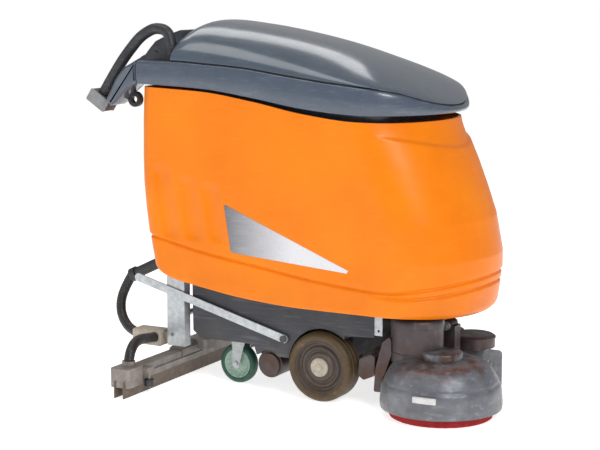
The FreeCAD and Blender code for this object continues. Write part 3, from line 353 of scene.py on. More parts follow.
def sweep(
    name: str, path: Points, section: Points, body: str, scale: Points | None = None, smooth: float = 45.0,
) -> bpy.types.Object:
    """Carries a closed section along a path.

    Point = path + a * across + b * up, where (a, b) is the section times the local scale.

    Args:
        name: Piece name.
        path: (n, 3) places.
        section: (m, 2) outline.
        body: Body that carries it.
        scale: Size of the section at each place.
        smooth: Sharpness limit in degrees.

    Returns:
        The piece, closed at both ends.
    """
    one, two = transported(path)
    size = np.ones(len(path)) if scale is None else scale
    if size.ndim == 1:
        size = np.stack([size, size], -1)
    a = section[None, :, 0, None] * size[:, None, 0, None]
    b = section[None, :, 1, None] * size[:, None, 1, None]
    grid = path[:, None] + a * one[:, None] + b * two[:, None]
    piece = surface(name, grid, body, wrap_columns=True, caps=True, smooth=smooth)
    merge_and_face_out(piece, 1e-7)
    return piece


def circle(radius: float, steps: int = 32) -> Points:
    """Round section."""
    a = np.linspace(0, 2 * np.pi, steps, endpoint=False)
    return np.stack([radius * np.cos(a), radius * np.sin(a)], -1)


def spline_route(points: Sequence[tuple[float, float, float]], steps: int = 24) -> Points:
    """Places along a smooth cord line whose control points are given, evenly spaced.

    Args:
        points: Control points from the drive axle.
        steps: Divisions between two control points.

    Returns:
        (n, 3) places.
    """
    curve = bpy.data.curves.new("route", "CURVE")
    curve.dimensions = "3D"
    line = curve.splines.new("NURBS")
    line.points.add(len(points) - 1)
    for target, point in zip(line.points, points):
        target.co = (*point, 1.0)
    line.order_u = 3
    line.use_endpoint_u = True
    line.resolution_u = steps
    holder = bpy.data.objects.new("route", curve)
    bpy.context.scene.collection.objects.link(holder)
    bpy.context.view_layer.update()
    mesh = bpy.data.meshes.new_from_object(holder)
    places = np.zeros(len(mesh.vertices) * 3)
    mesh.vertices.foreach_get("co", places)
    bpy.data.objects.remove(holder)
    bpy.data.meshes.remove(mesh)
    places = places.reshape(-1, 3)
    gone = np.concatenate([[0], np.cumsum(np.linalg.norm(np.diff(places, axis=0), axis=1))])
    even = np.linspace(0, gone[-1], steps * len(points))
    return np.stack([np.interp(even, gone, places[:, k]) for k in range(3)], -1)


def thicken(piece: bpy.types.Object, wall: float) -> None:
    """Gives an open shell its wall, inwards.

    Args:
        piece: Open shell that faces outwards.
        wall: Wall in metres.
    """
    solid = piece.modifiers.new("wall", "SOLIDIFY")
    solid.thickness = wall
    solid.offset = -1.0
    solid.use_even_offset = False


# ---------------------------------------------------------------- finishes

def linear(colour: str) -> tuple[float, float, float, float]:
    """sRGB hex such as "FF8015" as linear red, green, blue and alpha."""
    parts = [int(colour[i:i + 2], 16) / 255 for i in (0, 2, 4)]
    return (*[c / 12.92 if c <= 0.04045 else ((c + 0.055) / 1.055) ** 2.4 for c in parts], 1.0)


def add(tree: bpy.types.NodeTree, kind: str, inputs: dict | None = None, **settings: object) -> bpy.types.Node:
    """Adds a node.

    Args:
        tree: Material or world tree.
        kind: Blender's type name, without "ShaderNode".
        inputs: Socket name or number, with the value to set or the output to link.
        settings: Properties of the node.

    Returns:
        The node.
    """
    made = tree.nodes.new("ShaderNode" + kind)
    for key, value in settings.items():
        setattr(made, key, value)
    for key, value in (inputs or {}).items():
        if isinstance(value, bpy.types.NodeSocket):
            tree.links.new(value, made.inputs[key])
        else:
            made.inputs[key].default_value = value
    return made


@dataclass(frozen=True)
class Finish:
    """One surface of the machine, with the patches, grain, wear and dirt that the eye sees on it.

    Sizes are millimetres on the surface.
    """

    name: str
    colour: str
    patch: str
    slot: str
    roughness: float = 0.45
    spread: float = 0.12
    metallic: float = 0.0
    ior: float = 1.5
    patch_mm: float = 90.0
    patch_share: float = 0.5
    grain_mm: float = 3.0
    grain: float = 0.08
    scuff: str = "B0B0B0"
    scuff_share: float = 0.0
    scuff_mm: tuple[float, float, float] = (60.0, 60.0, 6.0)
    dirt: str = "4A3E32"
    dirt_share: float = 0.0
    dirt_top: float = 0.3
    coat: float = 0.0

    def build(self) -> bpy.types.Material:
        """Makes the material once and keeps it for the next piece.

        Returns:
            The material.
        """
        known = bpy.data.materials.get(self.name)
        if known:
            return known
        made = bpy.data.materials.new(self.name)
        made.use_nodes = True
        tree = made.node_tree
        tree.nodes.clear()
        place = add(tree, "TexCoord").outputs["Object"]
        colour = self.paint(tree, place)
        shader = add(tree, "BsdfPrincipled", {
            "Base Color": colour,
            "Roughness": self.gloss(tree, place),
            "Metallic": self.metallic,
            "Normal": self.relief(tree, place),
        })
        if not self.metallic:
            shader.inputs["IOR"].default_value = self.ior
        if self.coat:
            shader.inputs["Coat Weight"].default_value = self.coat
            shader.inputs["Coat Roughness"].default_value = 0.12
        add(tree, "OutputMaterial", {"Surface": shader.outputs[0]})
        return made

    def noise(self, tree: bpy.types.NodeTree, place: bpy.types.NodeSocket, size: float, detail: float = 3.0,
              seed: float = 0.0) -> bpy.types.NodeSocket:
        """Cloudy pattern whose blobs are size millimetres wide.

        Args:
            tree: Material tree.
            place: Place on the surface.
            size: Width of a blob in millimetres.
            detail: Octaves of finer cloud.
            seed: Shift that makes one pattern unlike another.

        Returns:
            The pattern, 0 to 1.
        """
        moved = add(tree, "VectorMath", {0: place, 1: (seed, seed * 0.7, seed * 1.3)}, operation="ADD").outputs[0]
        settings = {"Vector": moved, "Scale": 1000 / size, "Detail": detail, "Roughness": 0.6}
        return add(tree, "TexNoise", settings).outputs["Fac"]

    def share(self, tree: bpy.types.NodeTree, fac: bpy.types.NodeSocket, low: float, high: float,
              start: float = 0.0, end: float = 1.0) -> bpy.types.NodeSocket:
        """Stretches the part of a pattern between low and high over start to end."""
        inputs = {"Value": fac, "From Min": low, "From Max": high, "To Min": start, "To Max": end}
        return add(tree, "MapRange", inputs).outputs[0]

    def mix(self, tree: bpy.types.NodeTree, fac: bpy.types.NodeSocket, one: object,
            two: object) -> bpy.types.NodeSocket:
        """Colour one where fac is 0 and colour two where it is 1."""
        return add(tree, "Mix", {0: fac, 6: one, 7: two}, data_type="RGBA").outputs[2]

    def paint(self, tree: bpy.types.NodeTree, place: bpy.types.NodeSocket) -> bpy.types.NodeSocket:
        """Base colour with its patches, then scuffs, then the dirt that thins out upwards.

        Args:
            tree: Material tree.
            place: Place on the surface.

        Returns:
            The colour.
        """
        cloud = self.share(tree, self.noise(tree, place, self.patch_mm), 0.35, 0.68, 0, self.patch_share)
        colour = self.mix(tree, cloud, linear(self.colour), linear(self.patch))
        if self.scuff_share:
            scale = tuple(1000 / s for s in self.scuff_mm)
            long = add(tree, "VectorMath", {0: place, 1: scale}, operation="MULTIPLY").outputs[0]
            lines = add(tree, "TexNoise", {"Vector": long, "Scale": 1.0, "Detail": 4.0}).outputs["Fac"]
            marks = self.share(tree, lines, 0.56, 0.7, 0, self.scuff_share)
            colour = self.mix(tree, marks, colour, linear(self.scuff))
        if self.dirt_share:
            height = add(tree, "SeparateXYZ", {0: place}).outputs["Z"]
            fade = self.share(tree, height, self.dirt_top, 0.0, 0, self.dirt_share)
            blots = self.share(tree, self.noise(tree, place, self.patch_mm * 0.45, 6, 3.1), 0.36, 0.62)
            both = add(tree, "Math", {0: fade, 1: blots}, operation="MULTIPLY", use_clamp=True).outputs[0]
            colour = self.mix(tree, both, colour, linear(self.dirt))
        return colour

    def gloss(self, tree: bpy.types.NodeTree, place: bpy.types.NodeSocket) -> bpy.types.NodeSocket:
        """Roughness that wanders by spread about its middle."""
        cloud = self.noise(tree, place, self.patch_mm * 0.5, 5, 7.7)
        return self.share(tree, cloud, 0.3, 0.7, self.roughness - self.spread, self.roughness + self.spread)

    def relief(self, tree: bpy.types.NodeTree, place: bpy.types.NodeSocket) -> bpy.types.NodeSocket:
        """Fine bumps of the moulded, cast or worn surface.

        Args:
            tree: Material tree.
            place: Place on the surface.

        Returns:
            The normal.
        """
        height = self.noise(tree, place, self.grain_mm, 2, 1.9)
        inputs = {"Height": height, "Strength": self.grain, "Distance": self.grain_mm / 1000}
        return add(tree, "Bump", inputs).outputs[0]


@dataclass(frozen=True)
class PlateFinish(Finish):
    """Silver foil with painted shade, drawn dark at its rear and running to silver at its front point."""

    # where the painted shade on the foil starts, dark, and ends, silver, along the machine
    painted_shade_start_x: float = -0.30 + AXLE_X
    painted_shade_end_x: float = -0.06 + AXLE_X

    def paint(self, tree: bpy.types.NodeTree, place: bpy.types.NodeSocket) -> bpy.types.NodeSocket:
        """Painted shade from dark to silver along the machine, with a faint brushed grain.

        Args:
            tree: Material tree.
            place: Place on the surface.

        Returns:
            The colour.
        """
        # painted shade: the foil is coloured dark at the rear and runs to silver towards the front
        along = add(tree, "SeparateXYZ", {0: place}).outputs["X"]
        fade = self.share(tree, along, self.painted_shade_start_x, self.painted_shade_end_x)
        colour = self.mix(tree, fade, linear(self.colour), linear(self.patch))
        scale = (14.0, 14.0, 900.0)
        long = add(tree, "VectorMath", {0: place, 1: scale}, operation="MULTIPLY").outputs[0]
        lines = add(tree, "TexNoise", {"Vector": long, "Scale": 1.0, "Detail": 3.0}).outputs["Fac"]
        return self.mix(tree, self.share(tree, lines, 0.4, 0.7, 0, 0.25), colour, linear(self.scuff))


@dataclass(frozen=True)
class PadFinish(Finish):
    """Non-woven scrub pad: a felt of crimped fibres with dirt worked into it."""

    def relief(self, tree: bpy.types.NodeTree, place: bpy.types.NodeSocket) -> bpy.types.NodeSocket:
        """Tangled fibres, drawn 2.5 mm apart so that they show.

        Args:
            tree: Material tree.
            place: Place on the surface.

        Returns:
            The normal.
        """
        cells = add(tree, "TexVoronoi", {"Vector": place, "Scale": 400.0}, feature="DISTANCE_TO_EDGE")
        inputs = {"Height": cells.outputs["Distance"], "Strength": 0.9, "Distance": 0.002}
        return add(tree, "Bump", inputs).outputs[0]


@dataclass(frozen=True)
class RustyFinish(Finish):
    """Painted deck casting whose paint has worn to metal and rusted where water stands."""

    rust: str = "533626"
    rust_low: float = 0.12
    rust_high: float = 0.17

    def paint(self, tree: bpy.types.NodeTree, place: bpy.types.NodeSocket) -> bpy.types.NodeSocket:
        """Worn paint with rust blotches near the top of the casting.

        Args:
            tree: Material tree.
            place: Place on the surface.

        Returns:
            The colour.
        """
        colour = Finish.paint(self, tree, place)
        height = add(tree, "SeparateXYZ", {0: place}).outputs["Z"]
        rise = self.share(tree, height, self.rust_low, self.rust_high, 0, 0.9)
        blots = self.share(tree, self.noise(tree, place, 45, 6, 5.3), 0.44, 0.6)
        both = add(tree, "Math", {0: rise, 1: blots}, operation="MULTIPLY", use_clamp=True).outputs[0]
        return self.mix(tree, both, colour, linear(self.rust))


class Finishes(Enum):
    """Every finish on the machine, each named for what it is made of."""

    # rotation-moulded polyethylene: waxy satin, faintly rippled, and paler where it has been rubbed
    TANK = Finish("orange_polyethylene", "F07C00", "FA8A00", "tank_plastic", 0.34, 0.05, ior=1.36,
                  patch_mm=220, patch_share=0.7, grain_mm=7, grain=0.04, scuff="FF9A30", scuff_share=0.15,
                  scuff_mm=(50, 50, 9), dirt="9C5214", dirt_share=0.45, dirt_top=0.45)
    # injection-moulded cover with a high gloss, so it mirrors the lamps in long soft shapes
    LID = Finish("glossy_grey_polyethylene", "46515E", "556270", "lid_plastic", 0.2, 0.05, patch_mm=180,
                 grain_mm=9, grain=0.02, scuff="7C8894", scuff_share=0.15, scuff_mm=(90, 20, 20), coat=0.6)
    RIM = Finish("satin_grey_polyethylene", "465160", "556170", "lid_plastic", 0.28, 0.07, patch_mm=150,
                 grain_mm=6, grain=0.04, scuff="808B98", scuff_share=0.2, scuff_mm=(60, 60, 8), coat=0.4)
    # glass-filled nylon: dark, matt and slightly greyed by hands
    BLACK = Finish("glass_filled_nylon", "2B2C2F", "3C3D40", "black_plastic", 0.46, 0.12, patch_mm=40,
                   grain_mm=2, grain=0.12, scuff="77787A", scuff_share=0.3, scuff_mm=(30, 30, 4))
    BLOCK = Finish("worn_nitrile_block", "3A3631", "4B463F", "black_plastic", 0.55, 0.12, patch_mm=20,
                   grain_mm=1.5, grain=0.2, scuff="8C867C", scuff_share=0.35, scuff_mm=(12, 12, 4))
    GREY = Finish("moulded_grey_abs", "4A4E56", "5C6068", "grey_plastic", 0.42, 0.1, patch_mm=70,
                  grain_mm=2, grain=0.1, scuff="8D9196", scuff_share=0.2, scuff_mm=(40, 40, 5))
    EDGE = Finish("worn_grey_trim", "7E8084", "98999B", "grey_plastic", 0.5, 0.1, patch_mm=25, grain_mm=1.5,
                  grain=0.15, scuff="C4C4C4", scuff_share=0.4, scuff_mm=(15, 15, 3))
    RED = Finish("red_abs_button", "B01818", "C42A22", "red_plastic", 0.3, 0.06, patch_mm=12, grain_mm=1,
                 grain=0.05)
    GREEN = Finish("green_abs_button", "2E8B3D", "3C9C4B", "green_plastic", 0.3, 0.06, patch_mm=12, grain_mm=1,
                   grain=0.05)
    DISPLAY = Finish("tinted_acrylic_lens", "1A2226", "26323A", "display", 0.1, 0.04, patch_mm=30, grain_mm=4,
                     grain=0.02)
    # screen-printed silver foil on the tank's flat; its run from dark at the rear to silver at the front is painted
    # shade
    PLATE = PlateFinish("silver_foil_with_painted_shade", "54525B", "DEDFE3", "silver_plate", 0.3, 0.06, metallic=0.15,
                        grain_mm=3, grain=0.02, scuff="E6E6EA")
    # solid polyurethane tread that has yellowed and picked up floor dirt
    TREAD = Finish("amber_polyurethane", "4F3F27", "66502F", "tread", 0.5, 0.12, patch_mm=35, grain_mm=2.5,
                   grain=0.25, scuff="8A7450", scuff_share=0.35, scuff_mm=(25, 5, 25), dirt="3C2C1A",
                   dirt_share=0.7, dirt_top=0.25)
    WHEEL = Finish("wheel_nylon", "4A413D", "625752", "rim_plastic", 0.5, 0.12, patch_mm=30, grain_mm=2,
                   grain=0.15, scuff="6B625C", scuff_share=0.3, scuff_mm=(20, 20, 4), dirt="5A4A36",
                   dirt_share=0.7, dirt_top=0.25)
    CAP = Finish("beige_polypropylene", "C2B9A9", "A79C8B", "cap_plastic", 0.42, 0.1, patch_mm=18, grain_mm=1.5,
                 grain=0.1, dirt="6E6250", dirt_share=0.7, dirt_top=0.25)
    CASTER_TYRE = Finish("green_rubber", "1F5140", "2C6650", "caster_green", 0.5, 0.1, patch_mm=20, grain_mm=1.5,
                         grain=0.2, scuff="6E8F7F", scuff_share=0.3, scuff_mm=(14, 4, 14), dirt="2A2C28",
                         dirt_share=0.5, dirt_top=0.14)
    CASTER_CORE = Finish("mint_nylon", "A9C4B4", "8FB09F", "caster_centre", 0.4, 0.1, patch_mm=16, grain_mm=1.5,
                         grain=0.08, dirt="4E5A50", dirt_share=0.6, dirt_top=0.14)
    # hot-dip zinc: cool pale grey in overlapping flakes
    ZINC = Finish("zinc_plated_steel", "CDD2D4", "AEB5B9", "zinc", 0.36, 0.1, metallic=0.45, patch_mm=14,
                  patch_share=0.9, grain_mm=2, grain=0.06, scuff="8A8C8C", scuff_share=0.25,
                  scuff_mm=(30, 30, 4), dirt="7C7268", dirt_share=0.45, dirt_top=0.2)
    STEEL = Finish("turned_steel", "A5A5A3", "7E7C79", "steel", 0.35, 0.12, metallic=0.95, patch_mm=16,
                   grain_mm=1, grain=0.08)
    CHASSIS = Finish("textured_black_polyethylene", "3B3E45", "484B52", "black_plastic", 0.55, 0.12,
                     patch_mm=120, grain_mm=2.5, grain=0.2, scuff="787A7E", scuff_share=0.3,
                     scuff_mm=(90, 90, 8), dirt="5D554A", dirt_share=0.55, dirt_top=0.32)
    # cast aluminium deck, painted grey, scraped along the skirt and rusty where bolts weep
    DECK = RustyFinish("scuffed_deck_casting", "6A6D74", "82858C", "deck_metal", 0.38, 0.12, metallic=0.35,
                       patch_mm=60, patch_share=0.8, grain_mm=3, grain=0.2, scuff="A2A5AE", scuff_share=0.4,
                       scuff_mm=(24, 24, 9), dirt="57534D", dirt_share=0.6, dirt_top=0.1)
    MOTOR = RustyFinish("enamelled_motor_case", "4A4142", "5E5354", "motor_metal", 0.42, 0.12, metallic=0.3,
                        patch_mm=50, grain_mm=2, grain=0.15, scuff="857A7C", scuff_share=0.3,
                        scuff_mm=(12, 12, 60), rust="4E3428", rust_low=0.24, rust_high=0.13)
    PAD = PadFinish("red_scrub_pad", "C22C2E", "A82228", "red_pad", 0.9, 0.05, patch_mm=18, dirt="4A1A16",
                    dirt_share=0.6, dirt_top=0.02)
    SQUEEGEE = Finish("worn_cast_aluminium", "8A8480", "A39D97", "squeegee_metal", 0.5, 0.12, metallic=0.4,
                      patch_mm=45, patch_share=0.9, grain_mm=2.5, grain=0.45, scuff="B2AAA0",
                      scuff_share=0.5, scuff_mm=(20, 60, 10), dirt="5A5046", dirt_share=0.5, dirt_top=0.14)
    RUBBER = Finish("squeegee_gum_rubber", "75675A", "5E5248", "blade_rubber", 0.6, 0.1, patch_mm=40,
                    grain_mm=1.5, grain=0.15, dirt="463A2C", dirt_share=0.7, dirt_top=0.05)
    HOSE = Finish("black_pvc_hose", "232021", "343031", "hose_rubber", 0.4, 0.12, patch_mm=30, grain_mm=2,
                  grain=0.15, scuff="6A6663", scuff_share=0.25, scuff_mm=(20, 20, 4))
    SEAL = Finish("foam_rubber_seal", "1B1B1C", "272728", "seal_rubber", 0.8, 0.08, patch_mm=12, grain_mm=1.2,
                  grain=0.5)
    BATTERY = Finish("battery_case_polypropylene", "26282B", "33363A", "battery_case", 0.5, 0.1, patch_mm=60,
                     grain_mm=2, grain=0.1)
    LATCH = Finish("white_acetal", "D9DADA", "BFC0C1", "cap_plastic", 0.3, 0.1, patch_mm=16, grain_mm=1.2,
                   grain=0.08, scuff="8A8784", scuff_share=0.4, scuff_mm=(10, 10, 3))

    def on(self, piece: bpy.types.Object) -> bpy.types.Object:
        """Puts the finish on a piece.

        Args:
            piece: Piece to dress.

        Returns:
            The piece.
        """
        made = self.value.build()
        piece.data.materials.clear()
        piece.data.materials.append(made)
        return piece


def stands_for(piece: bpy.types.Object, finish: Finishes, *nodes: str) -> bpy.types.Object:
    """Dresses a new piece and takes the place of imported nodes.

    Args:
        piece: New piece.
        finish: Its surface.
        nodes: Nodes it replaces, if any.

    Returns:
        The piece.
    """
    finish.on(piece)
    if nodes:
        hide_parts(*nodes)
    LOG.info("%s stands for %s", piece.name, ", ".join(nodes) or "a detail")
    return piece


# ---------------------------------------------------------------- the machine

@dataclass
class SolutionTank:
    """Orange outer tank: straight sides, rounded rear corners and a half-round nose that leans back."""

    half: float = 0.280
    corner: float = 0.045
    nose: float = 0.215
    wall: float = 0.009
    levels: tuple = (
        (0.250, -0.552, 0.430), (0.300, -0.556, 0.455), (0.370, -0.562, 0.466), (0.450, -0.578, 0.466),
        (0.560, -0.592, 0.444), (0.640, -0.599, 0.415), (0.720, -0.600, 0.383), (0.830, -0.598, 0.333),
        (0.940, -0.592, 0.290),
    )
    top: tuple = ((-0.620, 0.931), (-0.374, 0.921), (-0.202, 0.898), (-0.036, 0.868), (0.126, 0.851),
                  (0.250, 0.848), (0.480, 0.848))
    bottom: tuple = ((-0.620, 0.385), (-0.540, 0.366), (-0.489, 0.345), (-0.381, 0.325), (-0.206, 0.301),
                     (-0.036, 0.291), (0.288, 0.289), (0.480, 0.279))
    sweep_line: tuple = ((-0.600, 0.474), (-0.560, 0.470), (-0.380, 0.434), (-0.171, 0.403), (0.031, 0.375),
                         (0.230, 0.361), (0.330, 0.371), (0.420, 0.386), (0.480, 0.397))
    crease: tuple = ((0.20, 0.812), (0.30, 0.790), (0.36, 0.768), (0.41, 0.730), (0.48, 0.700))

    def plan(self, share: Points, z: Points, inset: float = 0.0) -> tuple[Points, Points]:
        """Plan outline at a height.

        A half turn runs from the middle of the rear, round the corner, along the side and round the nose.
        The other half mirrors it.

        Args:
            share: -1 to 1 round the outline, with 0 at the nose's tip.
            z: Height of each point.
            inset: How far inside the outer face.

        Returns:
            x and y of each point.
        """
        table = np.asarray(self.levels)
        rear = np.interp(z, table[:, 0], table[:, 1]) + inset
        front = np.interp(z, table[:, 0], table[:, 2]) - inset
        half, corner, nose = self.half - inset, self.corner - inset, self.nose - inset
        s = np.abs(share)
        turn = np.clip(s / 0.34, 0, 1) * np.pi / 2
        bend = np.clip((s - 0.86) / 0.06, 0, 1) * np.pi / 2
        side = np.clip((s - 0.34) / 0.52, 0, 1)
        last = np.clip((s - 0.92) / 0.08, 0, 1)
        straight = front - nose
        x = np.where(s < 0.34, straight + nose * np.cos(turn), straight + (rear + corner - straight) * side)
        x = x - corner * np.sin(bend) * (s > 0.86)
        y = np.where(s < 0.34, half * np.sin(turn), half - corner * (1 - np.cos(bend)))
        y = np.where(s > 0.92, (half - corner) * (1 - last), y)
        return x, np.sign(share + 1e-12) * y

    def skin(self, share: Points, rise: Points, inset: float) -> Points:
        """Points of the tank's face; rise runs from 0 on the lower edge to 1 on the upper one.

        Args:
            share: -1 to 1 round the plan.
            rise: 0 to 1 up the face.
            inset: How far inside the outer face.

        Returns:
            The points.
        """
        z = 0.3 + 0.6 * rise
        for _ in range(5):
            x, y = self.plan(share, z, inset)
            low, high = curve_at(self.bottom, x), curve_at(self.top, x)
            z = low + (high - low) * rise
        return np.stack([x, y, z], -1)

    def relief(self, p: Points) -> Points:
        """Depth of the moulded lines below the plain face.

        The lower line is a narrow valley with the skirt under it a little lower, the front has a second valley,
        the rear has three slanted bays that end sharply behind and run out forwards, and the upper front steps
        back over its crease.

        Args:
            p: Points of the plain face.

        Returns:
            One depth for each point.
        """
        x, y, z = p[..., 0], p[..., 1], p[..., 2]
        line = curve_at(self.sweep_line, x)
        valley = 0.0080 * np.exp(-(((z - line) / 0.0050) ** 2))
        skirt = 0.0030 * ease(line - z, 0.0, 0.012)
        below = line - 0.027 * ease(x, 0.10, 0.40)
        second = 0.0070 * np.exp(-(((z - below) / 0.0048) ** 2)) * ease(x, 0.16, 0.30)
        bays = np.zeros_like(x)
        tall = ease(z, 0.462, 0.486)
        for rear, top in ((-0.531, 0.702), (-0.445, 0.672), (-0.364, 0.652)):
            lean = rear + (0.60 - z) * 0.16
            across = x - lean
            shape = ease(across, -0.001, 0.004) * (1 - ease(across, 0.030, 0.062))
            bays = np.maximum(bays, 0.0085 * shape * tall * (1 - ease(z, top - 0.035, top)))
        bays = bays * (np.abs(y) > self.half - 0.02)
        edge = curve_at(self.crease, x)
        over = 0.0065 * ease(z, edge - 0.004, edge + 0.006) * (1 - ease(z, edge + 0.02, edge + 0.085))
        over = over * ease(x, 0.17, 0.27)
        lip = 0.003 * ease(curve_at(self.bottom, x) + 0.012 - z, 0.0, 0.012) ** 2
        return valley + skirt + second + bays + over + lip

    def build(self) -> None:
        """Closes the outer face over both edges to an inner face, and dresses it."""
        share = np.linspace(-1, 1, 345)[:-1]
        weight = 1 + 1.6 * np.exp(-(((np.linspace(0, 1, 400) - 0.15) / 0.1) ** 2))
        spread = np.cumsum(weight)
        rise = np.interp(np.linspace(0, 1, 170), (spread - spread[0]) / (spread[-1] - spread[0]),
                         np.linspace(0, 1, 400))
        s, r = np.meshgrid(share, rise)
        face = self.skin(s, r, 0.0)
        up = np.gradient(face, axis=0)
        round_way = np.roll(face, -1, 1) - np.roll(face, 1, 1)
        out = np.cross(round_way, up)
        out /= np.maximum(np.linalg.norm(out, axis=-1), 1e-9)[..., None]
        middle = np.array([-0.06, 0.0, 0.6])
        out *= np.sign(np.sum(out * (face - middle), -1, keepdims=True))
        face = face - out * self.relief(face)[..., None]
        back = np.linspace(1, 0, 8)
        s2, r2 = np.meshgrid(share, back)
        inner = self.skin(s2, r2, self.wall)
        grid = np.concatenate([face, inner])
        shell = surface("tank_shell", grid, "machine", wrap_rows=True, wrap_columns=True, smooth=55)
        merge_and_face_out(shell)
        stands_for(shell, Finishes.TANK, "solution_tank")


@dataclass
class Lid:
    """Recovery tank's rim band and tub, and the glossy dome that closes it."""

    half: float = 0.283
    wall: float = 0.005
    rear: float = -0.478
    front: float = 0.342
    nose: float = 0.222
    rim_rear: float = -0.600
    overhang: float = 0.004
    rest: float = 0.0046
    tub_rear: float = -0.455
    tub_front: float = 0.195
    tub_half: float = 0.215
    tub_corner: float = 0.050
    hinge: tuple[float, float] = (-0.468, 1.096)
    top: tuple = ((-0.478, 1.114), (-0.437, 1.128), (-0.325, 1.118), (-0.184, 1.096), (-0.047, 1.066),
                  (0.087, 1.024), (0.186, 0.984), (0.250, 0.952), (0.300, 0.922), (0.330, 0.902), (0.342, 0.893))
    rim_top: tuple = ((-0.600, 1.008), (-0.470, 1.008), (-0.367, 1.003), (-0.230, 0.994), (-0.096, 0.977),
                      (0.035, 0.961), (0.162, 0.948), (0.250, 0.932), (0.300, 0.910), (0.346, 0.885))
    rim_bottom: tuple = ((-0.600, 0.938), (-0.368, 0.929), (-0.197, 0.908), (-0.030, 0.882), (0.099, 0.871),
                         (0.200, 0.868), (0.346, 0.868))

    def half_at(self, x: Points) -> Points:
        """Half width along the lid: level to the nose, then a quarter ellipse."""
        over = np.clip((x - self.front + self.nose) / self.nose, 0, 1)
        return self.half * np.sqrt(1 - over**2)

    def dome(self) -> None:
        """Crowned cover: height over its edge = rise * (1 - |s|^2.4)^0.62 at share s of the half width."""
        straight = self.front - self.nose
        rear = self.rear + 0.014 * (1 - np.cos(np.linspace(0, np.pi / 2, 8)))
        body = np.linspace(rear[-1], straight, 100)[1:-1]
        nose = straight + self.nose * np.sin(np.linspace(0, np.pi / 2, 60))
        x = np.concatenate([rear, body, nose])
        edge = np.sin(np.linspace(-np.pi / 2, np.pi / 2, 121))
        low = curve_at(self.rim_top, x) + self.rest
        soft = np.minimum(1, 0.93 + 0.07 * np.sqrt(np.clip(1 - ((rear[-1] - x) / 0.014).clip(0, 1) ** 2, 0, 1)))
        rise = np.maximum(curve_at(self.top, x) - low, 0.0) * soft
        half = self.half_at(x)
        crown = np.clip(1 - np.abs(edge) ** 2.4, 0, 1) ** 0.62
        grid = np.stack([
            np.broadcast_to(x[:, None], (len(x), 121)),
            half[:, None] * edge[None],
            low[:, None] + rise[:, None] * crown[None],
        ], -1)
        drop = np.linspace(0, 1, 12)[:-1, None]
        heights = low[0] + (grid[0, :, 2][None] - low[0]) * drop
        back = np.stack([
            np.full(heights.shape, self.rear), np.broadcast_to(grid[0, :, 1], heights.shape), heights], -1)
        grid = np.concatenate([back, grid])
        rows, columns = grid.shape[:2]
        faces = grid_faces(rows, columns, False, False)
        middle = grid.reshape(-1, 3)[faces].mean(1)
        ear = np.abs(np.abs(middle[:, 1]) - 0.046) < 0.012
        notch = ear & (middle[:, 0] < self.hinge[0] + 0.016) & (middle[:, 2] > self.hinge[1] - 0.018)
        cover = mesh_piece("lid_dome", grid, faces[~notch], "lid", smooth=40)
        merge_and_face_out(cover)
        turn_out(cover, (-0.1 + AXLE_X, 0, 0.95))
        thicken(cover, self.wall - 0.001)
        stands_for(cover, Finishes.LID, "lid")
        barrel = lathe("lid_hinge_barrel", [(0, -0.036), (0.0075, -0.036), (0.008, -0.0355), (0.008, 0.0355),
                                            (0.0075, 0.036), (0, 0.036)],
                       (self.hinge[0], 0, self.hinge[1]), "y", "lid", closed=False, segments=40)
        stands_for(barrel, Finishes.LID)

    def outline(self, share: Points, offset: Points) -> tuple[Points, Points]:
        """Rim's plan outline: rear edge, side and half-round nose, taken out by offset.

        Args:
            share: -1 to 1 round the outline.
            offset: How far outside the lid.

        Returns:
            x and y of each point.
        """
        s = np.abs(share)
        straight = self.front - self.nose
        reach = self.nose + self.overhang + offset
        wide = self.half + self.overhang + offset
        turn = np.clip(s / 0.36, 0, 1) * np.pi / 2
        side = np.clip((s - 0.36) / 0.48, 0, 1)
        last = np.clip((s - 0.84) / 0.16, 0, 1)
        rear = self.rim_rear
        x = np.where(s < 0.36, straight + reach * np.cos(turn), straight + (rear - straight) * side)
        y = np.where(s < 0.36, wide * np.sin(turn), wide * (1 - last))
        return x, np.sign(share + 1e-12) * y

    def tub_outline(self, share: Points, offset: float) -> tuple[Points, Points]:
        """Opening's plan outline: a rectangle with round corners, taken out by offset.

        Args:
            share: -1 to 1 round the outline.
            offset: How far outside the opening.

        Returns:
            x and y of each point.
        """
        rear, front = self.tub_rear - offset, self.tub_front + offset
        half, r = self.tub_half + offset, self.tub_corner + offset * 0.5
        s = np.abs(share)
        across = np.clip(s / 0.20, 0, 1)
        first = np.clip((s - 0.20) / 0.08, 0, 1) * np.pi / 2
        side = np.clip((s - 0.28) / 0.48, 0, 1)
        second = np.clip((s - 0.76) / 0.08, 0, 1) * np.pi / 2
        last = np.clip((s - 0.84) / 0.16, 0, 1)
        x = front - r * (1 - np.cos(first)) * (s > 0.2) + (rear - front + 2 * r) * side - r * np.sin(second)
        y = np.where(s < 0.28, (half - r) * across + r * np.sin(first), half - r * (1 - np.cos(second)))
        y = np.where(s > 0.84, (half - r) * (1 - last), y)
        return x, np.sign(share + 1e-12) * y

    def rim(self) -> None:
        """One closed surface: tub floor, wall, deck, rounded band, underside and tub's outer wall."""
        share = np.linspace(-1, 1, 321)[:-1]
        rows = []

        def tub(offset: float, z: Points) -> None:
            """Row of the tub's outline at a height."""
            x, y = self.tub_outline(share, offset)
            rows.append(np.stack([x, y, z + 0 * x], -1))

        def edge(inset: float, drop: float) -> None:
            """Row of the band.

            Args:
                inset: How far outside the rim's outline.
                drop: Share of the way down its height.
            """
            x, y = self.outline(share, inset)
            high, low = curve_at(self.rim_top, x), curve_at(self.rim_bottom, x)
            rows.append(np.stack([x, y, high + (low - high) * drop], -1))

